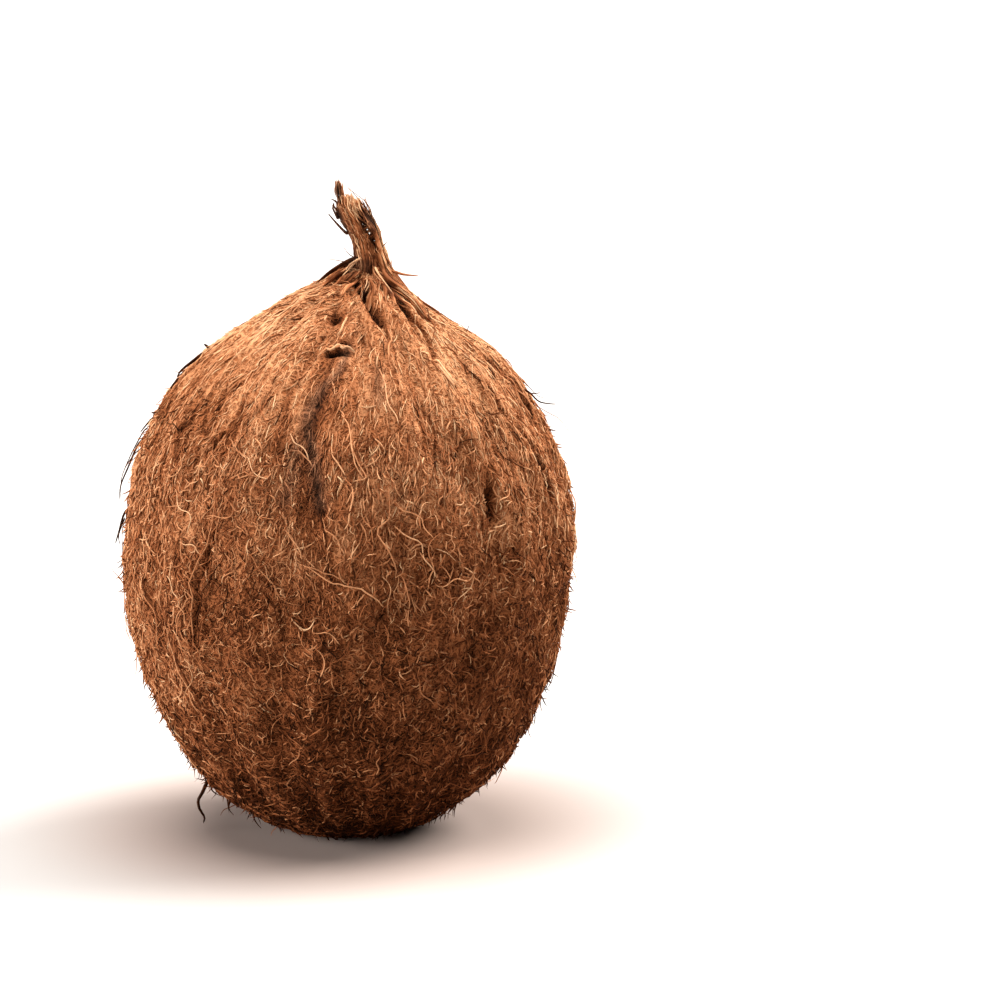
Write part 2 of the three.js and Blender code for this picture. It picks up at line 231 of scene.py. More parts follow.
# Shades of the tuft: middle x and height, half width, half height, change of tone, weathering. The
# darkest, above the eye and along the tuft's crevices, are painted shade
TUFT_SHADES = (
    (2.3, 160.6, 1.7, 3.0, 0.32, 0.0),
    (-1.3, 163.4, 0.9, 3.0, -0.06, 0.4),
    (-1.1, 158.4, 0.8, 1.6, -0.3, 0.2),
    (4.7, 157.2, 0.9, 2.0, -0.6, 0.1),
    (6.8, 157.2, 1.2, 2.4, -0.16, 0.6),
    (7.2, 152.0, 0.7, 1.8, -0.4, 0.0),
    (5.0, 150.4, 1.1, 1.6, 0.14, 0.0),
    (9.8, 147.8, 1.2, 2.6, 0.2, 0.0),
    (8.4, 147.6, 0.5, 1.6, -0.3, 0.0),
    (6.6, 145.2, 0.9, 2.6, -0.4, 0.1),
    (4.3, 145.4, 1.3, 1.5, -0.1, 0.5),
    (12.8, 143.2, 2.4, 2.0, 0.14, 0.0),
    (3.8, 139.0, 1.8, 2.4, -0.2, 0.4),
    (11.8, 139.0, 1.4, 3.0, -0.24, 0.0),
)
# Its edges: half width, heights between which they set in, change of tone, weathering
LEFT_EDGE = (1.3, (141, 146), -0.22, 0.5)
RIGHT_EDGE = (1.6, (155, 152), 0.16, 0.0)
# Its paler foot, and the heights above which shades weather the tuft
FOOT_TONE = 0.24
FOOT_HEIGHTS = (142, 137)
WEATHERED_FROM = (141 * MM, 144 * MM)
# The eye-shaped gap that shows through the tuft: its middle, x for each mm up, half height and half width
EYE = (5.8, 153.8, -0.6, 3.4, 1.2)
# The swelling of the coat round the tuft's foot
COLLAR_RISE = 3.4 * MM
COLLAR_RADIUS = 6.5 * MM

# Rim round each tube's cell of the bake map, and height of the strip that it keeps for the flat spot
CELL_RIM = 0.08
MAP_STRIP = 0.06

# Each field of noise and each group of pieces has a seed of its own
SEED = 4127
STREAK_SEED, LUMP_SEED, PATCH_SEED, STREAK_TONE_SEED, SEAM_SEED = (SEED + i for i in (0, 2, 4, 6, 7))
TANGLE_SEED, BARE_SEED = SEED + 8, SEED + 9
FELT_SEED, CROWN_SEED, STRAND_SEED, TUFT_SEED = (SEED + i for i in (10, 20, 30, 40))


class NutSettings(PropertyGroup):
    """Sizes of the coat."""

    columns: IntProperty(
        name="Columns", description="Faces round the nut", default=360, min=36
    )
    rows: IntProperty(
        name="Rows", description="Faces from the flat spot to the crown", default=160, min=18
    )
    fibre_width: FloatProperty(
        name="Fibre width",
        description="Full width of a fibre of the felt",
        default=0.4 * MM,
        min=0.1 * MM,
        unit="LENGTH",
    )
    fibre_length: FloatProperty(
        name="Fibre length",
        description="Mean length of a fibre of the felt",
        default=3.5 * MM,
        min=1 * MM,
        unit="LENGTH",
    )
    felt_fibres: IntProperty(
        name="Felt fibres", description="Fibres in each band of felt", default=10400, min=10
    )
    crown_fibres: IntProperty(
        name="Crown fibres", description="Straight fibres below the tuft", default=10000, min=10
    )
    strands: IntProperty(
        name="Strands", description="Long pale strands on the coat", default=330, min=10
    )
    tuft_fibres: IntProperty(
        name="Tuft fibres", description="Fine fibres along the straps", default=1500, min=10
    )


def colour_setting(name, description, default):
    """A colour that the user can change."""
    return FloatVectorProperty(
        name=name, description=description, subtype="COLOR", default=default, min=0, max=1
    )


class CoirColours(PropertyGroup):
    """Colours of husk fibre, from the painted shade of its cracks to its driest strands."""

    # The darkest colour is painted shade deep between the fibres, and also the colour of the darkest fibres
    crack_shade: colour_setting("Crack", "Colour deep between the fibres", (0.017, 0.005, 0.0015))
    russet: colour_setting("Russet", "Colour of damp, old fibre", (0.10, 0.026, 0.0075))
    cinnamon: colour_setting("Cinnamon", "Colour of the felt", (0.295, 0.098, 0.0355))
    tan: colour_setting("Tan", "Colour of dry fibre at the crown", (0.545, 0.25, 0.115))
    straw: colour_setting("Straw", "Colour of the palest strands", (0.7, 0.43, 0.235))
    ash: colour_setting("Ash", "Colour of weathered fibre", (0.205, 0.11, 0.067))


class StageSettings(PropertyGroup):
    """Floor, lights and camera."""

    aim: FloatVectorProperty(
        name="Aim",
        description="Point that the camera looks at",
        subtype="TRANSLATION",
        default=(39.3 * MM, 0, 84.7 * MM),
    )
    elevation: FloatProperty(
        name="Elevation",
        description="How far the camera looks down",
        subtype="ANGLE",
        default=np.radians(10),
    )
    distance: FloatProperty(
        name="Distance",
        description="From the camera to the point that it looks at",
        default=853.7 * MM,
        unit="LENGTH",
    )
    lens: FloatProperty(name="Lens", description="Focal length in millimetres", default=120)
    key: FloatProperty(name="Key", description="Strength of the main light", default=6.5)
    top: FloatProperty(name="Top", description="Strength of the light overhead", default=5.5)
    fill: FloatProperty(name="Fill", description="Strength of the light on the left", default=8.3)
    sky: FloatProperty(name="Sky", description="Strength of the light all round", default=0.06)


def smoothstep(value, low, high):
    """0 below low, 1 above high, and 3x^2 - 2x^3 between them."""
    x = np.clip((value - low) / (high - low), 0, 1)
    return x * x * (3 - 2 * x)


def unit(vectors):
    """The same directions with a length of 1."""
    return vectors / np.maximum(np.linalg.norm(vectors, axis=-1, keepdims=True), 1e-12)


def lattice_noise(angle, share, columns, rows, seed):
    """Smooth random field from -1 to 1 over the coat: seeded values on a lattice that closes on itself
    round the nut, blended between their neighbours by 3x^2 - 2x^3."""
    table = np.random.default_rng(seed).uniform(-1, 1, (rows + 2, columns))
    across = angle / TAU % 1 * columns
    along = np.clip(share, 0, 1) * rows
    column = np.floor(across).astype(int)
    row = np.floor(along).astype(int)
    x = smoothstep(across - column, 0, 1)
    y = smoothstep(along - row, 0, 1)
    left, right = column % columns, (column + 1) % columns
    lower = table[row, left] * (1 - x) + table[row, right] * x
    upper = table[row + 1, left] * (1 - x) + table[row + 1, right] * x
    return lower * (1 - y) + upper * y


def layers_of(layers, angle, share, seed):
    """Sum of layers of noise: each is its rise times a field of its own columns and rows."""
    return sum(
        rise * lattice_noise(angle, share, columns, rows, seed + i)
        for i, (rise, columns, rows) in enumerate(layers)
    )


# Depth that the lower half would have without the flat spot, which cuts it at its own radius
LOWER_DEPTH = EQUATOR_HEIGHT / (
    1 - (REST_RADIUS / EQUATOR_RADIUS) ** (1 / LOWER_ROUND)
) ** (1 / LOWER_POWER)


def radius_at(height):
    """Radius of the plain nut: R (1 - d^p)^q, where d is the distance from the widest line as a share of
    that half's depth, and p and q are its power and roundness."""
    down = np.clip((EQUATOR_HEIGHT - height) / LOWER_DEPTH, 0, 1)
    up = np.clip((height - EQUATOR_HEIGHT) / (CROWN_HEIGHT - EQUATOR_HEIGHT), 0, 1)
    lower = (1 - down**LOWER_POWER) ** LOWER_ROUND
    upper = (1 - up**UPPER_POWER) ** UPPER_ROUND
    return EQUATOR_RADIUS * np.where(height < EQUATOR_HEIGHT, lower, upper)


def outline_table():
    """Length along the outline, radius and height at many heights, set out closer at both ends."""
    height = CROWN_HEIGHT * (1 - np.cos(np.pi * np.linspace(0, 1, OUTLINE_SAMPLES))) / 2
    radius = radius_at(height)
    steps = np.hypot(np.diff(radius), np.diff(height))
    return np.concatenate([[0], np.cumsum(steps)]), radius, height


OUTLINE_RUN, OUTLINE_RADIUS, OUTLINE_HEIGHT = outline_table()
OUTLINE_LENGTH = OUTLINE_RUN[-1]


def outline_at(share):
    """Radius, height and the unit tangent (radial and upward) of the outline at a share of its length."""
    run = np.clip(share, 0, 1) * OUTLINE_LENGTH
    before, at, after = (
        [np.interp(run + reach, OUTLINE_RUN, values) for values in (OUTLINE_RADIUS, OUTLINE_HEIGHT)]
        for reach in (-TANGENT_REACH, 0, TANGENT_REACH)
    )
    radius, height = at
    radial, upward = after[0] - before[0], after[1] - before[1]
    length = np.hypot(radial, upward)
    return radius, height, radial / length, upward / length


def share_at(height):
    """Share of the outline's length at a height."""
    return np.interp(height, OUTLINE_HEIGHT, OUTLINE_RUN) / OUTLINE_LENGTH


def turn_between(a, b):
    """Difference of two angles, from -pi to pi."""
    return np.arctan2(np.sin(a - b), np.cos(a - b))


def pits(angle, height):
    """Depth of the pits: each is its depth times exp(-across^2 - along^2), with across and along counted
    in its half width and half height."""
    radius = radius_at(height)
    depth = np.zeros_like(height)
    for degrees, middle, width, tall, deep in PITS:
        across = turn_between(angle, np.radians(degrees)) * radius / (width * MM)
        along = (height - middle * MM) / (tall * MM)
        depth += deep * MM * np.exp(-(across**2) - along**2)
    return depth


def furrows(angle, height):
    """Depth of the furrows: each is its depth times exp(-across^2 - along^4), with across and along
    counted in its half width and half length."""
    radius = radius_at(height)
    depth = np.zeros_like(height)
    for degrees, middle, reach, width, deep, lean in FURROWS:
        waver = FURROW_WAVER * reach * np.sin(height / FURROW_WAVE + middle)
        line = np.radians(degrees - lean * (height / MM - middle) + waver)
        across = turn_between(angle, line) * radius / (width * MM)
        along = (height - middle * MM) / (reach * MM)
        depth += deep * MM * np.exp(-(across**2) - along**4)
    return depth


def beside(path, angle, height):
    """Distance in millimetres from a line down the nut through places given as angle and height, round the
    nut and beyond the line's ends."""
    degrees, heights = np.array(path[::-1]).T
    line = np.radians(np.interp(height / MM, heights, degrees))
    across = turn_between(angle, line) * radius_at(height) / MM
    return across, height / MM - np.clip(height / MM, heights[0], heights[-1])


def cracks(angle, height):
    """Depth of the cracks: each is its depth times exp(-(across^2 + beyond^2) / half width^2)."""
    depth = np.zeros_like(height)
    for width, deep, path in CRACKS:
        across, beyond = beside(path, angle, height)
        depth += deep * MM * np.exp(-(across**2 + beyond**2) / width**2)
    return depth


def around_middle(angle, height, degrees, middle, wide, tall):
    """exp(-across^2 - along^2), with across in half widths, given in degrees, and along in half heights."""
    across = np.degrees(turn_between(angle, np.radians(degrees))) / wide
    return np.exp(-(across**2) - ((height / MM - middle) / tall) ** 2)


def swells(angle, height):
    """Rise of the broad swells and hollows."""
    rise = np.zeros_like(height)
    for *place, high in SWELLS:
        rise += high * MM * around_middle(angle, height, *place)
    return rise


def crevices(x, y, height):
    """Depth of the crevices round the tuft: each is its depth times exp(-(distance / half width)^2), with
    the distance measured from above to the line between its ends."""
    place = np.stack([x, y], axis=-1) / MM
    depth = np.zeros_like(x)
    for x_high, y_high, x_low, y_low, width, deep in CREVICES:
        high, run = np.array((x_high, y_high)), np.array((x_low - x_high, y_low - y_high))
        share = np.clip((place - high) @ run / (run @ run), 0, 1)
        distance = np.linalg.norm(place - high - share[..., None] * run, axis=-1)
        depth += deep * MM * np.exp(-((distance / width) ** 2))
    return depth * (height > EQUATOR_HEIGHT)


def place_from_foot(angle, share):
    """Place as seen from above, counted from the middle of the tuft's foot."""
    radius = outline_at(share)[0]
    return radius * np.sin(angle) - TUFT_FOOT[0], -radius * np.cos(angle) - TUFT_FOOT[1]


def from_foot(angle, share):
    """Distance from the middle of the tuft's foot and angle about it, as seen from above."""
    x, y = place_from_foot(angle, share)
    return np.hypot(x, y), np.arctan2(x, -y)


def cuts(angle, share):
    """Depth of all furrows, pits and crevices together."""
    radius, height = outline_at(share)[:2]
    gaps = crevices(radius * np.sin(angle), -radius * np.cos(angle), height)
    return furrows(angle, height) + pits(angle, height) + cracks(angle, height) + gaps


def relief(angle, share):
    """How far the coat stands off the plain nut: lobes, swaying ribs, streaks that run down from the tuft
    and lumps of felt, which all fade at the flat spot and the crown, plus broad swells and a collar round
    the tuft, less the felt above this surface and the cuts."""
    radius, height = outline_at(share)[:2]
    fade = smoothstep(height, 0, REST_FADE) * smoothstep(radius, *CROWN_FADE)
    lobes = LOBE_RISE * np.cos(LOBES * (angle - LOBE_TURN))
    sway = np.sin(height / SWAY_WAVES[0]) + np.sin(2 * angle + height / SWAY_WAVES[1])
    ribs = RIB_RISE * np.cos(RIBS * angle + RIB_SWAY * sway)
    distance, around = from_foot(angle, share)
    high = smoothstep(share, *STREAK_SHARES)
    streaks = layers_of(STREAK_LAYERS, around, share, STREAK_SEED) * MM * high
    lumps = layers_of(LUMP_LAYERS, angle, share, LUMP_SEED) * MM
    collar = COLLAR_RISE * np.exp(-((distance / COLLAR_RADIUS) ** 2)) * (height > EQUATOR_HEIGHT)
    felt = lumps * (1 - LUMP_LOSS * high)
    sunk = FELT_DEPTH * smoothstep(height, 0, FELT_FADE)
    soft = fade * (lobes + ribs + streaks + felt) + swells(angle, height)
    return soft + collar - sunk - cuts(angle, share)


def on_coat(angle, share, lift=0.0):
    """Points on the coat, lifted along the plain nut's normal, and those normals."""
    radius, height, radial, upward = outline_at(share)
    off = relief(angle, share) + lift
    normal = np.stack([upward * np.sin(angle), -upward * np.cos(angle), -radial], axis=-1)
    plain = np.stack([radius * np.sin(angle), -radius * np.cos(angle), height], axis=-1)
    return plain + normal * off[..., None], normal


def tone_at(angle, share):
    """How pale the fibre is, from 0 (painted shade deep in a crack) to 1 (straw): dark at the foot and tan
    at the crown, partly its own colour and partly painted shade and light, with soft patches, some of them
    painted light and shade, dark seams of painted shade between the streaks, and painted shade in the cuts."""
    height = outline_at(share)[1]
    levels, tones = np.array(TONES_WITH_LIGHT_AND_SHADE).T
    tone = np.interp(height, levels * MM, tones)
    tone += layers_of(PATCH_LAYERS, angle, share, PATCH_SEED)
    around = from_foot(angle, share)[1]
    tone += layers_of(STREAK_TONE_LAYERS, around, share, STREAK_TONE_SEED)
    # Painted shade in the narrow gaps between the streaks near the crown
    seams = lattice_noise(around, share, *SEAM_GRID, SEAM_SEED)
    tone -= SEAM_SHADE * smoothstep(seams, *SEAM_NOISE) * smoothstep(share, *SEAM_SHARES)
    # Patches of the coat's own tone, and patches of painted light and shade
    for *place, change in LIGHT_SHADE_AND_TONE_PATCHES:
        tone += change * around_middle(angle, height, *place)
    # Painted shade in the furrows, pits, cracks and crevices, deeper the deeper they are
    depth = cuts(angle, share) / MM
    return tone - CUT_SHADE * np.minimum(depth, CUT_LIMIT) - DEEP_CUT_SHADE * smoothstep(depth, *DEEP_CUT)


def ash_at(points):
    """How weathered the fibre is at each point, from 0 to 1: on the nut the greatest of the streaks, each
    its strength times exp(-(across^2 + beyond^2) / half width^2), and on the tuft its left edge and its
    shades."""
    x, y, height = points.T
    ash = np.zeros_like(x)
    for width, strength, path in STREAKS:
        across, beyond = beside(path, np.arctan2(x, -y), height)
        ash = np.maximum(ash, strength * np.exp(-(across**2 + beyond**2) / width**2))
    return np.clip(ash + smoothstep(height, *WEATHERED_FROM) * tuft_shade(points)[1], 0, MOST_ASH)


def tuft_shade(points):
    """Change of tone and weathering of the tuft at each point, as the camera sees it, for its two edges,
    its paler foot and its shades, the darkest of which are painted shade above the eye and along the
    crevices.
    An edge is exp(-x^2) and a shade is exp(-x^2 - z^2), with x and z counted from its middle in half widths
    and half heights."""
    x, z = points[..., 0] / MM, points[..., 2] / MM
    heights, middle, half = np.array(TUFT_OUTLINE).T
    change, ash = FOOT_TONE * smoothstep(z, *FOOT_HEIGHTS), 0 * z
    for edge, (wide, reach, paler, weathered) in ((middle - half, LEFT_EDGE), (middle + half, RIGHT_EDGE)):
        near = np.exp(-(((x - np.interp(z, heights, edge)) / wide) ** 2)) * smoothstep(z, *reach)
        change, ash = change + paler * near, ash + weathered * near
    for x_middle, z_middle, wide, tall, paler, weathered in TUFT_SHADES:
        near = np.exp(-(((x - x_middle) / wide) ** 2) - ((z - z_middle) / tall) ** 2)
        change, ash = change + paler * near, ash + weathered * near
    return change, ash


def joined(*values):
    """Values made the same shape and stacked along a new last axis."""
    return np.stack(np.broadcast_arrays(*values), axis=-1)


def in_cells(count, inner):
    """The bake map of one tube repeated for many, each in its own cell of a square."""
    cells = int(np.ceil(np.sqrt(count)))
    corner = np.stack(divmod(np.arange(count), cells), axis=-1)[:, None]
    placed = corner + CELL_RIM + (1 - 2 * CELL_RIM) * inner.reshape(1, -1, 2)
    return (placed / cells).reshape(-1, 2)


def tubes(lines, facing, half_width, half_thickness, sides=3, flute=None):
    """Closed tubes along many lines at once. A point is the line's, plus the half width times cos(turn)
    along the side direction, plus the half thickness times sin(turn) along the facing one. The side is
    the tangent crossed with facing. Both ends close on a point. Flute scales the section at each turn."""
    count, stations = lines.shape[:2]
    tangent = unit(np.gradient(lines, axis=1))
    side = unit(np.cross(tangent, facing))
    face = np.cross(side, tangent)
    turn = TAU * (0.25 + np.arange(sides) / sides)
    shape = np.ones((count, stations, sides)) if flute is None else flute
    wide = (half_width[..., None] * np.cos(turn) * shape)[:, 1:-1, :, None]
    thick = (half_thickness[..., None] * np.sin(turn) * shape)[:, 1:-1, :, None]
    rings = lines[:, 1:-1, None] + wide * side[:, 1:-1, None] + thick * face[:, 1:-1, None]
    vertices = np.concatenate(
        [lines[:, :1], rings.reshape(count, -1, 3), lines[:, -1:]], axis=1
    )
    size = vertices.shape[1]
    first = np.arange(count)[:, None] * size
    k = np.arange(sides)
    after = (k + 1) % sides
    last_ring = (stations - 3) * sides
    root = joined(first, first + 1 + k, first + 1 + after)
    tip = joined(first + size - 1, first + 1 + last_ring + after, first + 1 + last_ring + k)
    ring = 1 + np.arange(stations - 3)[:, None] * sides
    quad = joined(ring + k, ring + sides + k, ring + sides + after, ring + after)
    quads = first[:, :, None] + quad.reshape(1, -1, 4)
    # In the bake map, u runs round a tube and v along it
    u, u_next, middle = k / sides, (k + 1) / sides, (k + 0.5) / sides
    step = 1 / (stations - 1)
    v = np.arange(1, stations - 2)[:, None] * step
    root_map = np.stack([joined(middle, 0), joined(u, step), joined(u_next, step)], axis=1)
    tip_map = np.stack([joined(middle, 1), joined(u_next, 1 - step), joined(u, 1 - step)], axis=1)
    quad_map = np.stack(
        [joined(u, v), joined(u, v + step), joined(u_next, v + step), joined(u_next, v)], axis=2
    )
    ends_map = np.concatenate([root_map, tip_map])
    return {
        "vertices": vertices.reshape(-1, 3),
        "triangles": np.concatenate([root, tip], axis=1).reshape(-1, 3),
        "quads": quads.reshape(-1, 4),
        "map": np.concatenate([in_cells(count, ends_map), in_cells(count, quad_map)]),
        "size": size,
    }


def make_piece(name, surface, tone, material):
    """A mesh object from arrays of vertices, triangles and quads, with its tones and its bake map."""
    mesh = bpy.data.meshes.new(name)
    triangles, quads = surface["triangles"], surface["quads"]
    corners = np.concatenate([triangles.ravel(), quads.ravel()]).astype(np.int32)
    sizes = np.concatenate([np.full(len(triangles), 3), np.full(len(quads), 4)])
    starts = np.concatenate([[0], np.cumsum(sizes)[:-1]]).astype(np.int32)
    mesh.vertices.add(len(surface["vertices"]))
    mesh.vertices.foreach_set("co", surface["vertices"].astype(np.float32).ravel())
    mesh.loops.add(len(corners))
    mesh.loops.foreach_set("vertex_index", corners)
    mesh.polygons.add(len(starts))
    mesh.polygons.foreach_set("loop_start", starts)
    mesh.update(calc_edges=True)
    mesh.shade_smooth()
    tones = mesh.attributes.new("tone", "FLOAT", "POINT")
    tones.data.foreach_set("value", tone.astype(np.float32).ravel())
    ash = mesh.attributes.new("ash", "FLOAT", "POINT")
    ash.data.foreach_set("value", ash_at(surface["vertices"]).astype(np.float32))
    bake_map = mesh.uv_layers.new(name=BAKE_MAP)
    bake_map.data.foreach_set("uv", surface["map"].astype(np.float32).ravel())
    if mesh.validate():
        raise RuntimeError(f"{name} had faces that don't make a mesh")
    mesh.materials.append(material)
    piece = bpy.data.objects.new(name, mesh)
    bpy.context.scene.collection.objects.link(piece)
    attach(piece, BODY)
    return piece


# Node materials: how much the fibre shines, and the colours of weathered fibre at tones 0 and 1, as shares
# of the ash colour
COIR_SHEEN = 0.04
ASH_SHARES = (0.15, 1.6)
# Flecks on each fibre: scale and detail of their noise, range of tone, strength and depth of their bumps
FLECK_NOISE = (900, 2)
FLECK_TONE = 0.3
FLECK_BUMP = (0.3, 0.1 * MM)
# The net of the felt: the noise that warps it and how far, scale and width of its lines at two sizes, the
# noise of its fuzz and the rise of that beside the net's own, its range of tone, which paints shade into
# the cells between the lines, its bumps, its roughness
WARP_NOISE = (420, 2)
WARP_REACH = 3 * MM
NET_LINES = ((430, 0.16), (800, 0.22))
FUZZ_NOISE = (1500, 3)
FUZZ_RISE = 0.5
NET_SHADE = 0.26
NET_BUMP = (0.9, 0.5 * MM)
FELT_ROUGHNESS = 0.9


def fresh_material(name):
    """An empty node material with its output, and its shader."""
    material = bpy.data.materials.new(name)
    material.use_nodes = True
    nodes, links = material.node_tree.nodes, material.node_tree.links
    nodes.clear()
    output = nodes.new("ShaderNodeOutputMaterial")
    shader = nodes.new("ShaderNodeBsdfPrincipled")
    links.new(shader.outputs["BSDF"], output.inputs["Surface"])
    return material, nodes, links, shader


def coir_ramp(nodes):
    """A colour ramp from the painted shade of cracks to straw."""
    colours = bpy.context.scene.coir_colours
    ramp = nodes.new("ShaderNodeValToRGB")
    stops = (colours.crack_shade, colours.russet, colours.cinnamon, colours.tan, colours.straw)
    elements = ramp.color_ramp.elements
    while len(elements) < len(stops):
        elements.new(0.5)
    for i, colour in enumerate(stops):
        elements[i].position = i / (len(stops) - 1)
        elements[i].color = (*colour, 1)
    return ramp


def maths(nodes, links, operation, *values):
    """A Math node. Each value is a number or a socket."""
    node = nodes.new("ShaderNodeMath")
    node.operation = operation
    for socket, value in zip(node.inputs, values):
        if isinstance(value, (int, float)):
            socket.default_value = value
        else:
            links.new(value, socket)
    return node.outputs[0]


def own_value(nodes, name):
    """One of the piece's own attributes."""
    node = nodes.new("ShaderNodeAttribute")
    node.attribute_name = name
    return node.outputs["Fac"]


def add_colour(nodes, links, shader, tone):
    """Colours the shader by tone, greyer where the fibre is weathered."""
    ramp = coir_ramp(nodes)
    links.new(tone, ramp.inputs["Fac"])
    blend = nodes.new("ShaderNodeMix")
    blend.data_type = "RGBA"
    colours = [socket for socket in blend.inputs if socket.type == "RGBA"]
    links.new(own_value(nodes, "ash"), blend.inputs["Factor"])
    links.new(ramp.outputs["Color"], colours[0])
    weathered = nodes.new("ShaderNodeValToRGB")
    ash = bpy.context.scene.coir_colours.ash
    for element, share in zip(weathered.color_ramp.elements, ASH_SHARES):
        element.color = (*(share * channel for channel in ash), 1)
    links.new(tone, weathered.inputs["Fac"])
    links.new(weathered.outputs["Color"], colours[1])
    result = [socket for socket in blend.outputs if socket.type == "RGBA"]
    links.new(result[0], shader.inputs["Base Color"])


def noise(nodes, links, place, scale, detail):
    """A Noise Texture node over a place."""
    node = nodes.new("ShaderNodeTexNoise")
    node.inputs["Scale"].default_value = scale
    node.inputs["Detail"].default_value = detail
    links.new(place, node.inputs["Vector"])
    return node


def add_surface(nodes, links, shader, height, bump, roughness):
    """Makes the shader bumpy by a height, with the strength and the depth in bump, and rough and dull."""
    node = nodes.new("ShaderNodeBump")
    node.inputs["Strength"].default_value, node.inputs["Distance"].default_value = bump
    links.new(height, node.inputs["Height"])
    links.new(node.outputs["Normal"], shader.inputs["Normal"])
    shader.inputs["Roughness"].default_value = roughness
    shader.inputs["Specular IOR Level"].default_value = COIR_SHEEN


def fibre_material(name, roughness):
    """Husk fibre: its colour comes from the tone of each strand, with fine flecks along it."""
    material, nodes, links, shader = fresh_material(name)
    place = nodes.new("ShaderNodeTexCoord").outputs["Object"]
    flecks = noise(nodes, links, place, *FLECK_NOISE).outputs["Fac"]
    fleck = maths(nodes, links, "MULTIPLY_ADD", flecks, FLECK_TONE, -FLECK_TONE / 2)
    add_colour(nodes, links, shader, maths(nodes, links, "ADD", own_value(nodes, "tone"), fleck))
    add_surface(nodes, links, shader, flecks, FLECK_BUMP, roughness)
    return material


def felt_material(name):
    """The coat below the loose fibres: a net of warped cell edges at two sizes stands for matted fibre. Its
    lines are raised and paler, and the cells between them are darkened as painted shade. Fine fuzz lies
    over both."""
    material, nodes, links, shader = fresh_material(name)
    place = nodes.new("ShaderNodeTexCoord").outputs["Object"]
    warp = noise(nodes, links, place, *WARP_NOISE)
    shift = nodes.new("ShaderNodeVectorMath")
    shift.operation = "MULTIPLY_ADD"
    shift.inputs[1].default_value = (WARP_REACH,) * 3
    links.new(warp.outputs["Color"], shift.inputs[0])
    links.new(place, shift.inputs[2])
    lines = []
    for scale, width in NET_LINES:
        cells = nodes.new("ShaderNodeTexVoronoi")
        cells.feature = "DISTANCE_TO_EDGE"
        cells.inputs["Scale"].default_value = scale
        links.new(shift.outputs["Vector"], cells.inputs["Vector"])
        edge = nodes.new("ShaderNodeMapRange")
        edge.interpolation_type = "SMOOTHSTEP"
        edge.inputs["From Max"].default_value = width
        edge.inputs["To Min"].default_value = 1
        edge.inputs["To Max"].default_value = 0
        links.new(cells.outputs["Distance"], edge.inputs["Value"])
        lines.append(edge.outputs["Result"])
    net = maths(nodes, links, "MAXIMUM", *lines)
    fuzz = noise(nodes, links, place, *FUZZ_NOISE).outputs["Fac"]
    height = maths(nodes, links, "MULTIPLY_ADD", fuzz, FUZZ_RISE, net)
    # Painted shade in the cells between the net's lines
    paler = maths(nodes, links, "MULTIPLY_ADD", height, NET_SHADE, -NET_SHADE)
    add_colour(nodes, links, shader, maths(nodes, links, "ADD", own_value(nodes, "tone"), paler))
    add_surface(nodes, links, shader, height, NET_BUMP, FELT_ROUGHNESS)
    return material


def row_shares(rows):
    """Shares for the rows of faces, which are closer across the pits than elsewhere."""
    share = np.linspace(0, 1, OUTLINE_SAMPLES)
    low, high = share_at(np.array(PIT_HEIGHTS))
    near = smoothstep(share, low - PIT_FADE, low) * smoothstep(share, high + PIT_FADE, high)
    density = 1 + (PIT_ROWS - 1) * near
    run = np.concatenate([[0], np.cumsum(density)[:-1]])
    return np.interp(np.arange(rows) / rows, run / run[-1], share)


def nut_surface(columns, rows):
    """The coat as one closed sheet: a grid of angle by share, with the flat spot closed by a fan to its
    middle and the crown by a fan to its pole."""
    angle = TAU * np.arange(columns) / columns
    share = row_shares(rows)
    grid_angle, grid_share = np.meshgrid(angle, share)
    points = on_coat(grid_angle, grid_share)[0]
    points[0, :, 2] = 0
    pole = on_coat(np.array(0.0), np.array(1.0))[0]
    vertices = np.concatenate([points.reshape(-1, 3), [[0, 0, 0], pole]])
    j = np.arange(columns)
    after = (j + 1) % columns
    row = np.arange(rows - 1)[:, None] * columns
    quads = joined(row + j, row + after, row + columns + after, row + columns + j)
    middle, top = len(vertices) - 2, len(vertices) - 1
    last = (rows - 1) * columns
    under = joined(middle, after, j)
    over = joined(last + j, last + after, top)
    # The bake map lays the sheet out flat, with a strip below it for the flat spot
    u, u_next, u_middle = j / columns, (j + 1) / columns, (j + 0.5) / columns
    step = (1 - MAP_STRIP) / rows
    v = MAP_STRIP + step * np.arange(rows - 1)[:, None]
    under_map = np.stack([joined(u_middle, 0), joined(u_next, MAP_STRIP), joined(u, MAP_STRIP)], axis=1)
    over_map = np.stack([joined(u, 1 - step), joined(u_next, 1 - step), joined(u_middle, 1)], axis=1)
    quad_map = np.stack(
        [joined(u, v), joined(u_next, v), joined(u_next, v + step), joined(u, v + step)], axis=2
    )
    tone = tone_at(grid_angle, grid_share).ravel()
    surface = {
        "vertices": vertices,
        "triangles": np.concatenate([under, over]),
        "quads": quads.reshape(-1, 4),
        "map": np.concatenate([m.reshape(-1, 2) for m in (under_map, over_map, quad_map)]),
    }
    return surface, np.concatenate([tone, [tone[0], tone[-1]]])


def flow(angle, share):
    """Heading from straight down the nut to straight away from the tuft's foot, in radians."""
    x, y = place_from_foot(angle, share)
    return np.arctan2(x * np.cos(angle) + y * np.sin(angle), x * np.sin(angle) - y * np.cos(angle))


# Roots: how far their heights stray beyond a band, the lowest and the highest of all, the depths of cut in
# mm between which fewer and fewer are kept, and the field of noise and its values, from -limit to limit,
# between which patches turn bare
ROOT_WAVER = 4 * MM
ROOT_HEIGHTS = (1.5 * MM, 144.6 * MM)
BARE_CUTS = (0.3, 1.4)
BARE_GRID = (9, 6)
BARE_NOISE = 0.3
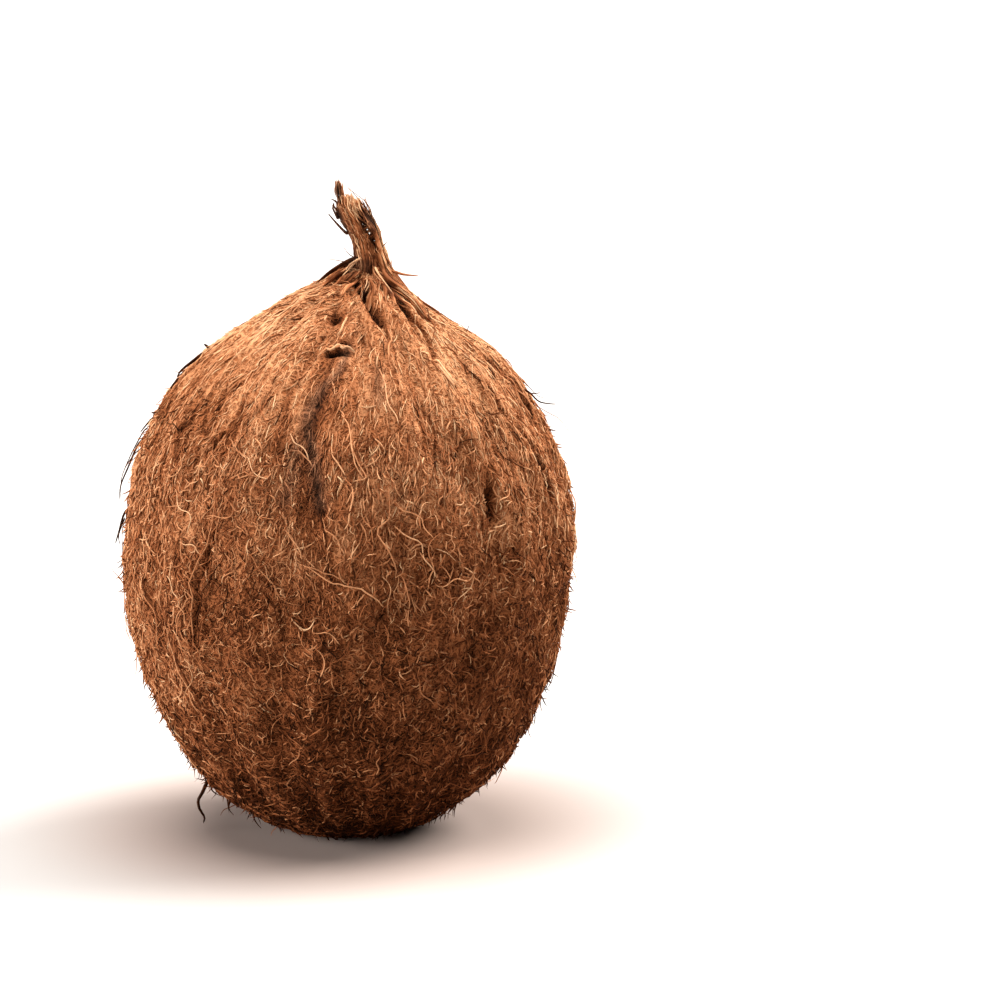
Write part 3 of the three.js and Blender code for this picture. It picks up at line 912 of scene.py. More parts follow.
# Lines on the coat: the field of noise by which headings turn more or less, and its strength, the least
# radius at which a line still turns freely, the depth of a pit that it keeps out of, the depth of its root,
# how steeply it comes up from there, and how far it keeps off the floor
TANGLE_GRID = (8, 6)
TANGLE = 0.5
LEAST_RADIUS = 6 * MM
LEAST_PIT = 0.25 * MM
ROOT_DEPTH = 0.5 * MM
STEEPNESS = 6
LINE_FLOOR = 0.5 * MM
# Tones of fibres: what a plain, a pale and a dark one adds, the chances of the three, what is added along a
# fibre at shares of its length, and the darkest tone. The dark ones are partly dark fibre and partly
# painted shade of the gaps between clumps. What is added along a fibre is painted shade at its root and a
# touch of painted light at its tip
PLAIN_FIBRE, PALE_FIBRE, DARK_AND_SHADE_FIBRE = 0, 0.2, -0.26
FIBRE_CHANCES = (0.72, 0.1, 0.18)
ROOT_SHADE_TIP_LIGHT = ((0, 0.3, 1), (-0.12, 0, 0.04))
DARKEST = 0.02
# Width at both ends of a fibre, as a share of its full width
FIBRE_ENDS = 0.3


def roots(rng, low, high, count, patchy):
    """Places for roots between two heights, or a little beyond them, spread evenly but for the cuts: of
    twice as many as are asked for, those in the deepest cuts go, and of the rest the first ones are kept.
    Patchy roots also leave whole patches bare."""
    angle = rng.uniform(0, TAU, 2 * count)
    height = rng.uniform(low, high, 2 * count) + rng.normal(0, ROOT_WAVER, 2 * count)
    share = share_at(np.clip(height, *ROOT_HEIGHTS))
    bare = cuts(angle, share) > rng.uniform(*BARE_CUTS, 2 * count) * MM
    if patchy:
        field = lattice_noise(angle, share, *BARE_GRID, BARE_SEED)
        bare |= field < rng.uniform(-BARE_NOISE, BARE_NOISE, 2 * count)
    kept = np.argsort(bare, kind="stable")[:count]
    return angle[kept], share[kept]


def laid_lines(
    rng, low, high, count, stations, length, heading, bend, wave, waves, lift, free, patchy=False
):
    """Lines that lie on the coat, rooted between two heights. With t from 0 at the root to 1 at the tip,
    the heading is its own, plus bend (t - 1/2), plus wave sin(2 pi (waves t + phase)). Headings turn more
    in some patches than in others. The line lies lift (1 - e^(-s t)) - depth (1 - t)^s + free t^3 above the
    surface, where s is its steepness and depth is its root's. A line that would meet a pit is moved to the
    far side of the nut."""
    t = np.linspace(0, 1, stations)
    angle, share = roots(rng, low, high, count, patchy)
    tangle = 1 + TANGLE * lattice_noise(angle, share, *TANGLE_GRID, TANGLE_SEED)
    way = (flow(angle, share) + heading * tangle)[:, None] + bend[:, None] * (t - 0.5)
    way = way + wave[:, None] * np.sin(TAU * (waves[:, None] * t + rng.uniform(0, 1, (count, 1))))
    step = (length / (stations - 1))[:, None]
    shares = share[:, None] - np.cumsum(np.cos(way) * step, axis=1) / OUTLINE_LENGTH
    radius = np.maximum(outline_at(shares)[0], LEAST_RADIUS)
    angles = angle[:, None] + np.cumsum(np.sin(way) * step / radius, axis=1)
    in_pit = (pits(angles, outline_at(shares)[1]) > LEAST_PIT).any(axis=1)
    angles[in_pit] += np.pi
    off = lift[:, None] * (1 - np.exp(-STEEPNESS * t)) - ROOT_DEPTH * (1 - t) ** STEEPNESS
    points, normals = on_coat(angles, shares, off + free[:, None] * t**3)
    points[..., 2] = np.maximum(points[..., 2], LINE_FLOOR)
    return points, normals, tone_at(angles, shares), t


def drawn_lines(rng, heights, count, stations, lay, patchy=False):
    """Lines on the coat between two heights, drawn from the ranges and spreads of a lay."""
    return laid_lines(
        rng,
        *heights,
        count,
        stations,
        rng.uniform(*lay["length"], count) * MM,
        heading=rng.normal(0, lay["heading"], count),
        bend=rng.normal(0, lay["bend"], count),
        wave=rng.uniform(*lay["wave"], count),
        waves=rng.uniform(*lay["waves"], count),
        lift=rng.uniform(*lay["lift"], count) * MM,
        free=rng.choice(lay["free"], count, p=lay["chances"]) * MM,
        patchy=patchy,
    )


def fibre_tones(rng, tone, spread, dark=DARK_AND_SHADE_FIBRE, sides=3):
    """Tones for the vertices of tubes, from the coat's tone along each line: a fibre adds its own, now and
    then a pale one and now and then a dark one that is partly painted shade of the gaps between clumps, and
    it has painted shade at its root, where it comes out of the mat, and a touch of painted light at its
    tip."""
    count, stations = tone.shape
    kind = rng.normal(0, spread, count)
    kind = kind + rng.choice((PLAIN_FIBRE, PALE_FIBRE, dark), count, p=FIBRE_CHANCES)
    # Painted shade at the root of each fibre and a touch of painted light at its tip
    along = np.interp(np.linspace(0, 1, stations), *ROOT_SHADE_TIP_LIGHT)
    tones = np.clip(tone + kind[:, None] + along, DARKEST, 1)
    rings = np.repeat(tones[:, 1:-1], sides, axis=1)
    return np.concatenate([tones[:, :1], rings, tones[:, -1:]], axis=1).ravel()


def swell(t, sharpness):
    """Width along a fibre: e + (1 - e) (1 - |2t - 1|^sharpness), where e is the width at its ends."""
    return (1 - np.abs(2 * t - 1) ** sharpness) * (1 - FIBRE_ENDS) + FIBRE_ENDS


# Bands of felt: name, heights of the roots, and how far headings stray in radians
FELT_BANDS = (
    ("felt_foot", (2 * MM, 38 * MM), 1.1),
    ("felt_belly", (36 * MM, 73 * MM), 0.9),
    ("felt_shoulder", (71 * MM, 112 * MM), 0.6),
)
# The share of fibres that stand free at the tip, the range of their rise in mm and of that of the others,
# and the loss of tone of those that rise above a limit
FREE_SHARE = 0.1
FREE_RISE = (0.5, 2.8)
BOUND_RISE = (-0.8, 0.2)
FREE_TONE = 0.18
FREE_LIMIT = 0.4
CROWN_HEIGHTS = (98 * MM, 144.5 * MM)
STRAND_HEIGHTS = (24 * MM, 104 * MM)
# How lines lie: range of length in mm, spread of heading and of bend in radians, ranges of the strength and
# the number of their waves and of lift in mm, and the heights in mm to which tips stand free, with chances
CROWN_LAY = {
    "length": (2.5, 8.5),
    "heading": 0.18,
    "bend": 0.4,
    "wave": (0, 0.4),
    "waves": (0.5, 1.2),
    "lift": (-0.05, 0.32),
    "free": (-0.5, 0.1, 0.9),
    "chances": (0.6, 0.36, 0.04),
}
STRAND_LAY = {
    "length": (5, 17),
    "heading": 0.45,
    "bend": 1.1,
    "wave": (0.3, 0.8),
    "waves": (0.8, 2.2),
    "lift": (0.6, 1.1),
    "free": (-1.4, 0.3, 2.0),
    "chances": (0.6, 0.32, 0.08),
}


def felt_band(name, heights, curl, seed, material):
    """A band of short curly fibres, matted on the coat. The few that stand free are darker."""
    settings = bpy.context.scene.nut_settings
    rng = np.random.default_rng(seed)
    count = settings.felt_fibres
    length = settings.fibre_length * rng.lognormal(0, 0.4, count)
    stands = rng.random(count) < FREE_SHARE
    free = np.where(stands, rng.uniform(*FREE_RISE, count), rng.uniform(*BOUND_RISE, count))
    lines, normals, tone, t = laid_lines(
        rng,
        *heights,
        count,
        5,
        length,
        heading=rng.normal(0, curl, count),
        bend=rng.normal(0, 1.6 * curl, count),
        wave=rng.uniform(0.3, 1.0, count) * curl,
        waves=rng.uniform(0.4, 1.0, count),
        lift=rng.uniform(0.05, 0.8, count) * MM,
        free=free * MM,
    )
    half = settings.fibre_width / 2 * rng.uniform(0.6, 1.25, (count, 1)) * swell(t, 2.5)
    surface = tubes(lines, normals, half, 0.9 * half)
    tone = tone - FREE_TONE * (free > FREE_LIMIT)[:, None]
    return make_piece(name, surface, fibre_tones(rng, tone, 0.12), material)


class COCONUT_OT_husk_body(Operator):
    """Builds the coat's own surface, which stands for the solid nut"""

    bl_idname = "coconut.husk_body"
    bl_label = "Husk body"

    def execute(self, context):
        settings = context.scene.nut_settings
        surface, tone = nut_surface(settings.columns, settings.rows)
        # The coat under the loose fibres is painted darker than they are, as shade beneath them
        piece = make_piece("husk_body", surface, tone - 0.08, felt_material("matted coir"))
        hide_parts(NODE)
        return {"FINISHED"}


class COCONUT_OT_felt(Operator):
    """Builds three bands of curly fibre from the foot of the nut to its shoulder"""

    bl_idname = "coconut.felt"
    bl_label = "Felt"

    def execute(self, context):
        material = fibre_material("curly coir", 0.8)
        for i, (name, heights, curl) in enumerate(FELT_BANDS):
            felt_band(name, heights, curl, FELT_SEED + i, material)
        return {"FINISHED"}


class COCONUT_OT_crown(Operator):
    """Builds the straight fibres that run down from the tuft over the crown"""

    bl_idname = "coconut.crown"
    bl_label = "Crown fibres"

    def execute(self, context):
        settings = context.scene.nut_settings
        rng = np.random.default_rng(CROWN_SEED)
        count = settings.crown_fibres
        lines, normals, tone, t = drawn_lines(rng, CROWN_HEIGHTS, count, 5, CROWN_LAY)
        half = 0.15 * MM * rng.uniform(0.6, 1.4, (count, 1)) * swell(t, 2.5)
        surface = tubes(lines, normals, half, 0.8 * half)
        # Its dark fibres, darker still, are partly painted shade of the gaps between clumps
        tones = fibre_tones(rng, tone + 0.04, 0.11, dark=-0.42)
        make_piece("crown_fibres", surface, tones, fibre_material("straight coir", 0.75))
        return {"FINISHED"}


# Length of a strand's waver over its path in degrees and mm, how far it strays round the nut in degrees
# and along it in mm, its lift in mm, and how deep its ends dip below that
WAVE_LENGTH = 9
WAVER = (0.3, 0.2)
STRAND_LIFT = 0.8
STRAND_DIP = 1.4
# Strands that lie where the eye meets them: half width, tone, and places as angle in degrees and height
LAID_STRANDS = (
    (0.26, 0.7, ((-34, 101), (-33, 96), (-32, 91), (-33, 86), (-35, 80), (-38, 74), (-38, 68), (-39, 58),
     (-41, 46))),
    (0.22, 0.74, ((-12, 88), (-11, 85), (-9, 82), (-8, 79.5))),
    (0.22, 0.72, ((27, 86), (24, 84), (23, 80), (24, 77), (23, 74), (22, 71))),
    (0.2, 0.72, ((15, 77), (17, 74), (18, 70), (18, 66), (18, 62))),
    (0.22, 0.66, ((-38, 69), (-41, 66), (-44, 61))),
    (0.2, 0.7, ((-22, 82), (-19, 78), (-15, 73), (-12, 68))),
    (0.18, 0.76, ((-13, 88), (-11, 85), (-8, 80))),
    (0.24, 0.78, ((-11, 80), (-5, 77), (-1, 74.5), (4, 73.5), (9, 71), (12, 67))),
    (0.16, 0.72, ((-9, 79), (-3, 77), (3, 75))),
    (0.22, 0.74, ((3, 99), (4.5, 95), (3, 90), (2, 87))),
    (0.22, 0.72, ((13, 99), (14, 95), (13, 90), (10.5, 87), (12, 83), (15, 78), (14, 73))),
    (0.2, 0.7, ((14, 95), (17, 92), (21, 90), (22.5, 87), (25, 83))),
    (0.2, 0.7, ((14, 89), (17, 86), (21.5, 83), (22, 79), (24.5, 76), (23, 72))),
    (0.2, 0.68, ((-12, 66), (-9, 62.5), (-6.5, 63), (-5, 65.5))),
    (0.18, 0.68, ((-7, 61.5), (-3, 62.2), (-0.5, 61), (0.5, 59))),
    (0.2, 0.76, ((4, 108), (6, 103), (7.5, 100), (4, 98.5))),
    (0.2, 0.78, ((-2, 107), (0, 103.5), (2.5, 100))),
    (0.2, 0.74, ((-4, 91), (-2.5, 87.5), (0, 85.5), (1.5, 81))),
    (0.2, 0.76, ((-14, 106.5), (-9.5, 105.5), (-6.5, 102))),
    (0.22, 0.6, ((-49, 57), (-45, 50), (-41.5, 42), (-38, 33))),
    (0.2, 0.56, ((-52, 62), (-47, 52), (-44, 45), (-43, 37))),
    (0.2, 0.2, ((-16, 70), (-14.5, 64), (-13, 57))),
    (0.2, 0.2, ((-29, 79), (-34, 72), (-36.5, 64), (-37.5, 54))),
    (0.2, 0.82, ((17, 125), (17, 121), (17, 117), (18, 114), (19, 111.5))),
    (0.2, 0.84, ((1, 115), (2, 113), (4, 111), (4, 106), (5, 104), (6, 101), (8, 99))),
    (0.18, 0.86, ((-15, 110), (-12, 108), (-9, 106), (-7, 103))),
    (0.16, 0.8, ((-26, 117), (-25, 115), (-24, 113), (-21, 111.5))),
    (0.34, 0.88, ((5, 135.6), (1, 133), (-2, 131))),
    (0.4, 0.84, ((-8, 128.9), (-4, 128.9), (0, 128.85), (4, 128.75), (8, 128.4))),
    (0.3, 0.78, ((-7, 129.0), (-3, 129.05), (2, 128.9), (5, 128.8))),
    (0.36, 0.84, ((44, 125.5), (44, 122), (44.5, 119))),
    (0.3, 0.84, ((42, 124), (42.5, 121), (43, 118))),
    (0.3, 0.9, ((31, 133.5), (29, 131), (24, 128), (21, 125))),
    (0.2, 0.24, ((21, 110), (21, 108), (20.5, 105.5))),
    (0.2, 0.3, ((76, 134.5), (60, 131), (50, 128.5))),
    (0.2, 0.86, ((73, 119), (75, 114), (77, 108))),
    (0.2, 0.84, ((80, 119), (82, 114), (84, 109))),
)


class COCONUT_OT_strands(Operator):
    """Builds the long pale strands that lie across the felt, in patches and in places of their own"""

    bl_idname = "coconut.strands"
    bl_label = "Long strands"

    def execute(self, context):
        settings = context.scene.nut_settings
        rng = np.random.default_rng(STRAND_SEED)
        count, stations = settings.strands, 16
        lines, normals, tone, t = drawn_lines(
            rng, STRAND_HEIGHTS, count, stations, STRAND_LAY, patchy=True
        )
        half = rng.uniform(0.12, 0.21, (count, 1)) * swell(t, 4)
        own = [self.laid(rng, places, stations) for _, _, places in LAID_STRANDS]
        lines = np.concatenate([lines, [points for points, _ in own]])
        normals = np.concatenate([normals, [normal for _, normal in own]])
        own_half = np.array([[strand[0]] for strand in LAID_STRANDS]) * swell(t, 4)
        own_tone = np.array([[strand[1]] for strand in LAID_STRANDS]) + 0 * t
        half = np.concatenate([half, own_half]) * MM
        surface = tubes(lines, normals, half, half)
        tones = fibre_tones(rng, np.concatenate([tone + 0.12, own_tone]), 0.08)
        make_piece("long_strands", surface, tones, fibre_material("pale coir", 0.65))
        return {"FINISHED"}

    def laid(self, rng, places, stations):
        """A strand through places on the coat, which wavers a little, once in each wave length, and dips in
        at both ends."""
        path = spline(places, stations)
        t = np.linspace(0, 1, stations)
        turns = np.abs(path[-1] - path[0]).sum() / WAVE_LENGTH * t
        phase = rng.uniform(0, TAU, 2)
        angle = np.radians(path[:, 0] + WAVER[0] * np.sin(TAU * turns + phase[0]))
        share = share_at((path[:, 1] + WAVER[1] * np.sin(TAU * 1.4 * turns + phase[1])) * MM)
        return on_coat(angle, share, (STRAND_LIFT - STRAND_DIP * np.abs(2 * t - 1) ** 10) * MM)


# Twigs of the tuft: half width, tone, and places from the root on
TWIGS = (
    (0.4, 0.1, ((1.0, -0.8, 152.8), (-0.6, -1, 154.3), (-2.6, -1, 156.5), (-4.1, -1, 158.3))),
    (0.4, 0.55, ((11.6, -1.2, 143.8), (14.5, -1.2, 142.9), (16.6, -1.2, 142.6), (18.9, -1.2, 142.4))),
    (0.5, 0.08, ((3.4, -2, 147.2), (1.2, -2.2, 146.5), (-1.1, -2.3, 145.3), (-4.2, -2.4, 143.3),
     (-7.4, -2.6, 140.4))),
    (0.45, 0.12, ((2.6, -1.4, 146.2), (-0.8, -1.8, 144.9), (-4.4, -2, 142.6), (-8.6, -2.2, 139.2))),
    (0.34, 0.66, ((3.4, -2.6, 146.8), (1.0, -3.4, 144.8), (-1.6, -4.0, 143.0), (-4.4, -4.8, 141.2))),
    (0.36, 0.95, ((3.6, -3.4, 147.0), (2.4, -4.2, 145.8), (1.2, -4.6, 144.4), (-0.4, -5.0, 142.8))),
    (0.24, 0.9, ((4.4, -3.8, 147.2), (3.0, -4.4, 146.6), (1.4, -4.6, 145.6), (0.4, -4.8, 144.0))),
    (0.13, 0.4, ((1.6, -1.4, 145.6), (-0.6, -1.8, 146.2), (-2.8, -2, 146.6), (-5, -2, 146.5))),
    (0.13, 0.4, ((2.4, -1.4, 147.2), (1.2, -1.8, 148.0), (0.4, -1.8, 149), (-0.4, -1.8, 150.2))),
    (0.14, 0.15, ((7.0, -1.2, 157), (6.0, -1.2, 159), (4.3, -1.2, 160.9), (2.3, -1.2, 163.5),
     (0, -1.2, 165.8))),
    (0.13, 0.25, ((7.2, -1.2, 156), (6.7, -1.2, 159.2), (5.2, -1.2, 161.4), (3.3, -1.2, 162.9),
     (1, -1.2, 164.6))),
    (0.1, 0.4, ((4.4, -1.2, 158.4), (5.0, -1.2, 160), (5.4, -1.2, 161.4), (5.6, -1.2, 163.8))),
    (0.12, 0.8, ((2.0, -1, 160), (2.2, -1, 162), (1.7, -1, 163.8), (0.8, -1, 165))),
    (0.14, 0.3, ((9.2, -1, 149), (10, -1, 150.2), (10.6, -1, 150.8), (11.1, -1, 150.6))),
    (0.28, 0.1, ((-1.2, -0.8, 160.4), (-2.1, -0.8, 161.2), (-2.7, -0.8, 161.6), (-3.3, -0.8, 161.8))),
    (0.34, 0.06, ((-1.4, -1, 156.6), (-2.2, -1, 158.2), (-2.8, -1, 159.6), (-2.5, -1, 161.0))),
    (0.24, 0.9, ((7.8, -5.0, 145.2), (8.6, -6.0, 143.8), (10.4, -7.0, 141.4), (12.6, -8.2, 138.6))),
)


# Width of a twig or a hair at its root, as a share of its own, and how far its points keep off the floor
TAPER_START = 1.1
TIP_FLOOR = 0.7 * MM
TO_VIEWER = np.array((0.0, -1.0, 0.0))


def spline(points, stations):
    """A smooth curve through a few points, evenly spaced: a Catmull-Rom spline, which at each point runs
    parallel to the line between its neighbours."""
    points = np.array(points, float)
    ends = np.concatenate([[2 * points[0] - points[1]], points, [2 * points[-1] - points[-2]]])
    at = np.linspace(0, len(points) - 1, stations)
    i = np.minimum(at.astype(int), len(points) - 2)
    x = (at - i)[:, None]
    a, b, c, d = ends[i], ends[i + 1], ends[i + 2], ends[i + 3]
    return b + 0.5 * x * (c - a + x * (2 * a - 5 * b + 4 * c - d + x * (3 * (b - c) + d - a)))


def through(points, stations):
    """A smooth curve in metres through points in millimetres."""
    return spline(points, stations) * MM


def tapered(rows, stations, sides, narrowing):
    """Tubes that narrow to their tips, and their tones, from rows of half width, tone and places. They keep
    off the floor."""
    lines = np.stack([through(places, stations) for _, _, places in rows])
    lines[..., 2] = np.maximum(lines[..., 2], TIP_FLOOR)
    half = np.array([[half] for half, _, _ in rows]) * MM
    half = half * (TAPER_START - narrowing * np.linspace(0, 1, stations))
    surface = tubes(lines, TO_VIEWER + 0 * lines, half, half, sides=sides)
    return surface, np.repeat([tone for _, tone, _ in rows], surface["size"])


def on_crown(x, y, lift):
    """Points on the upper coat above places x, y."""
    reach = np.hypot(x, y)
    upper = OUTLINE_HEIGHT > EQUATOR_HEIGHT
    run = np.interp(reach, OUTLINE_RADIUS[upper][::-1], OUTLINE_RUN[upper][::-1])
    return on_coat(np.arctan2(x, -y), run / OUTLINE_LENGTH, lift)[0]


def part_at_eye(points):
    """Moves points aside from the line of the eye: a distance d from it, as the camera sees it, becomes
    sqrt(d^2 + w^2), where w is the eye's half width times exp(-(rise / half height)^2)."""
    x_eye, z_eye, slope, reach, width = EYE
    rise = points[..., 2] / MM - z_eye
    off = points[..., 0] / MM - x_eye - slope * rise
    gap = width * np.exp(-((rise / reach) ** 2))
    moved = np.where(off < 0, -1, 1) * np.hypot(off, gap)
    points[..., 0] += (moved - off) * MM
    return points


# Straps: those that would come straight down the front have their heading turned to the right, by how much
# and within what angle, in radians. The part on the coat runs from the strap's run to a share of it, with
# lifts from its end to the foot. The free part starts at a height in mm
STRAP_PULL = (0.75, 0.9)
STRAP_NEAR = 0.55
STRAP_LIFTS = np.array((-0.6, 0.3, 0.7)) * MM
STRAP_START = 142.5
# Share of the bundle's half width at which the straps in its middle stand, and what is added to the
# outermost. By a strap's place across: its top, and its run over the coat, in mm, and the ranges added
STRAP_INNER, STRAP_OUTER = 0.34, 0.46
STRAP_TOPS = ((-0.9, -0.4, 0.1, 0.6, 0.9), (160.5, 161.7, 163.4, 162, 159))
TOP_RANGE = (-3.4, 0.8)
STRAP_RUNS = ((-1, 0, 1), (12, 13, 19))
RUN_RANGE = (-2, 4)
STRAP_HALF = (0.3, 0.8)


def strap_line(across, depth, run, top, drift, stations):
    """The middle line of a strap: it comes up the shoulder, turns up at the tuft's foot and rises in its
    place in the bundle, which is across of the half width and depth of the half depth, and drifts."""
    heading = np.arctan2(across, -depth)
    heading += STRAP_PULL[0] * np.exp(-((heading / STRAP_PULL[1]) ** 2))
    way = np.array((np.sin(heading), -np.cos(heading)))
    reach = np.linspace(run, STRAP_NEAR * run, len(STRAP_LIFTS)) * MM
    low = on_crown(*(TUFT_FOOT[:, None] + way[:, None] * reach), STRAP_LIFTS)
    height = np.linspace(STRAP_START, top, 7)
    heights, middle, half = np.array(TUFT_OUTLINE).T
    wide = np.interp(height, heights, half)
    rise = (height - height[0]) / (top - height[0])
    x = np.interp(height, heights, middle) + wide * (across + drift[0] * rise)
    y = TUFT_DEPTH * wide * (depth + drift[1] * rise)
    high = np.stack([x, y, height], axis=-1)
    return part_at_eye(through(np.concatenate([low / MM, high]), stations))


def strap_table(rng, count):
    """Straps on a golden-angle spiral over the bundle's section: across, depth, run, top and half width.
    Those in the middle are the tallest but for the spike, and those on the right reach furthest down."""
    i = np.arange(count)
    turn = i * np.pi * (3 - np.sqrt(5))
    out = STRAP_INNER + STRAP_OUTER * np.sqrt((i + 0.5) / count)
    across, depth = out * np.cos(turn), out * np.sin(turn)
    top = np.interp(across, *STRAP_TOPS) + rng.uniform(*TOP_RANGE, count)
    run = np.interp(across, *STRAP_RUNS) + rng.uniform(*RUN_RANGE, count)
    return across, depth, run, top, rng.uniform(*STRAP_HALF, count)


# The spike at the left edge of the tuft: points of its middle line, and its half width
SPIKE = (
    ((-3.0, -4.0, 141.5), (2.4, -1.4, 144.2), (3.0, -0.4, 148), (2.6, 0, 152), (0.9, 0, 156.5),
     (-0.9, 0, 160), (-1.7, 0, 163.5), (-1.6, 0, 166.5)),
    ((-4.0, -2.0, 141.0), (2.2, -0.6, 144.6), (3.0, 0.6, 148), (2.6, 0.8, 152), (1.2, 0.7, 156.5),
     (-0.3, 0.5, 160.5), (-1.1, 0.3, 163.5), (-1.4, 0.2, 166.8)),
    ((3.4, -2.0, 143.0), (3.4, -1.6, 146.0), (3.0, -1.2, 150), (1.8, -0.8, 154), (0.5, -0.6, 158),
     (-0.3, -0.4, 161), (-0.7, -0.2, 163.8), (-1.1, -0.2, 165.9)),
)
SPIKE_WIDTH = 0.62

# Straps: how many, points along each and corners of its section. Width at shares of the length, as a share
# of the half width, for a strap and for the blunter spike. Spread of the drift, range of the width, share
# of the thickness, range of the ridges, and how much these change along the strap
STRAPS = 64
STRAP_STATIONS, STRAP_SIDES = 28, 10
BLADE_AT = (0, 0.15, 0.5, 0.85, 1)
BLADE = (0.5, 1.15, 0.95, 0.85, 0.2)
SPIKE_BLADE = (0.5, 1.15, 1, 1, 0.35)
STRAP_DRIFT = 0.14
BLADE_RANGE = (0.75, 1.25)
STRAP_THICKNESS = 0.6
RIDGES = (0.5, 1.3)
RIDGE_CHANGE = 0.26
# Tone of the straps, its loss all over, and how much it varies between straps, round a strap and along it
STRAP_TONE = 0.46
STRAP_TONE_LOSS = 0.1
STRAP_VARIES, SIDE_VARIES, POINT_VARIES = 0.13, 0.1, 0.1
# The core from which straps face away: how far below each point it lies in mm, and how much further at the
# foot, between two heights
CORE_BELOW = 0.5
FOOT_BELOW = 6
FOOT_TURN = (146, 140)
# Fine fibres of the tuft: share that is frayed, where those start along the strap, and where the others do
# and how long these are, least half width that they stand on, their flatness, and their tone
FRAYED_SHARE = 0.16
FRAYED_START = (0.74, 0.92)
FIBRE_START = (0, 0.8)
FIBRE_REACH = (0.08, 0.34)
LEAST_WIDTH = 0.4 * MM
FIBRE_FLATNESS = 0.7
# Their distance from the strap's middle in half widths, and what is added to it at the tip: for frayed
# ones, and for some of all, with chances
FIBRE_OUT = 1.2
FRAYED_OUT = 1.2
TIP_OUT = ((0.0, 1.8), (0.78, 0.22))
TUFT_FIBRE_TONE = 0.54
FRAYED_TONE = 0.1


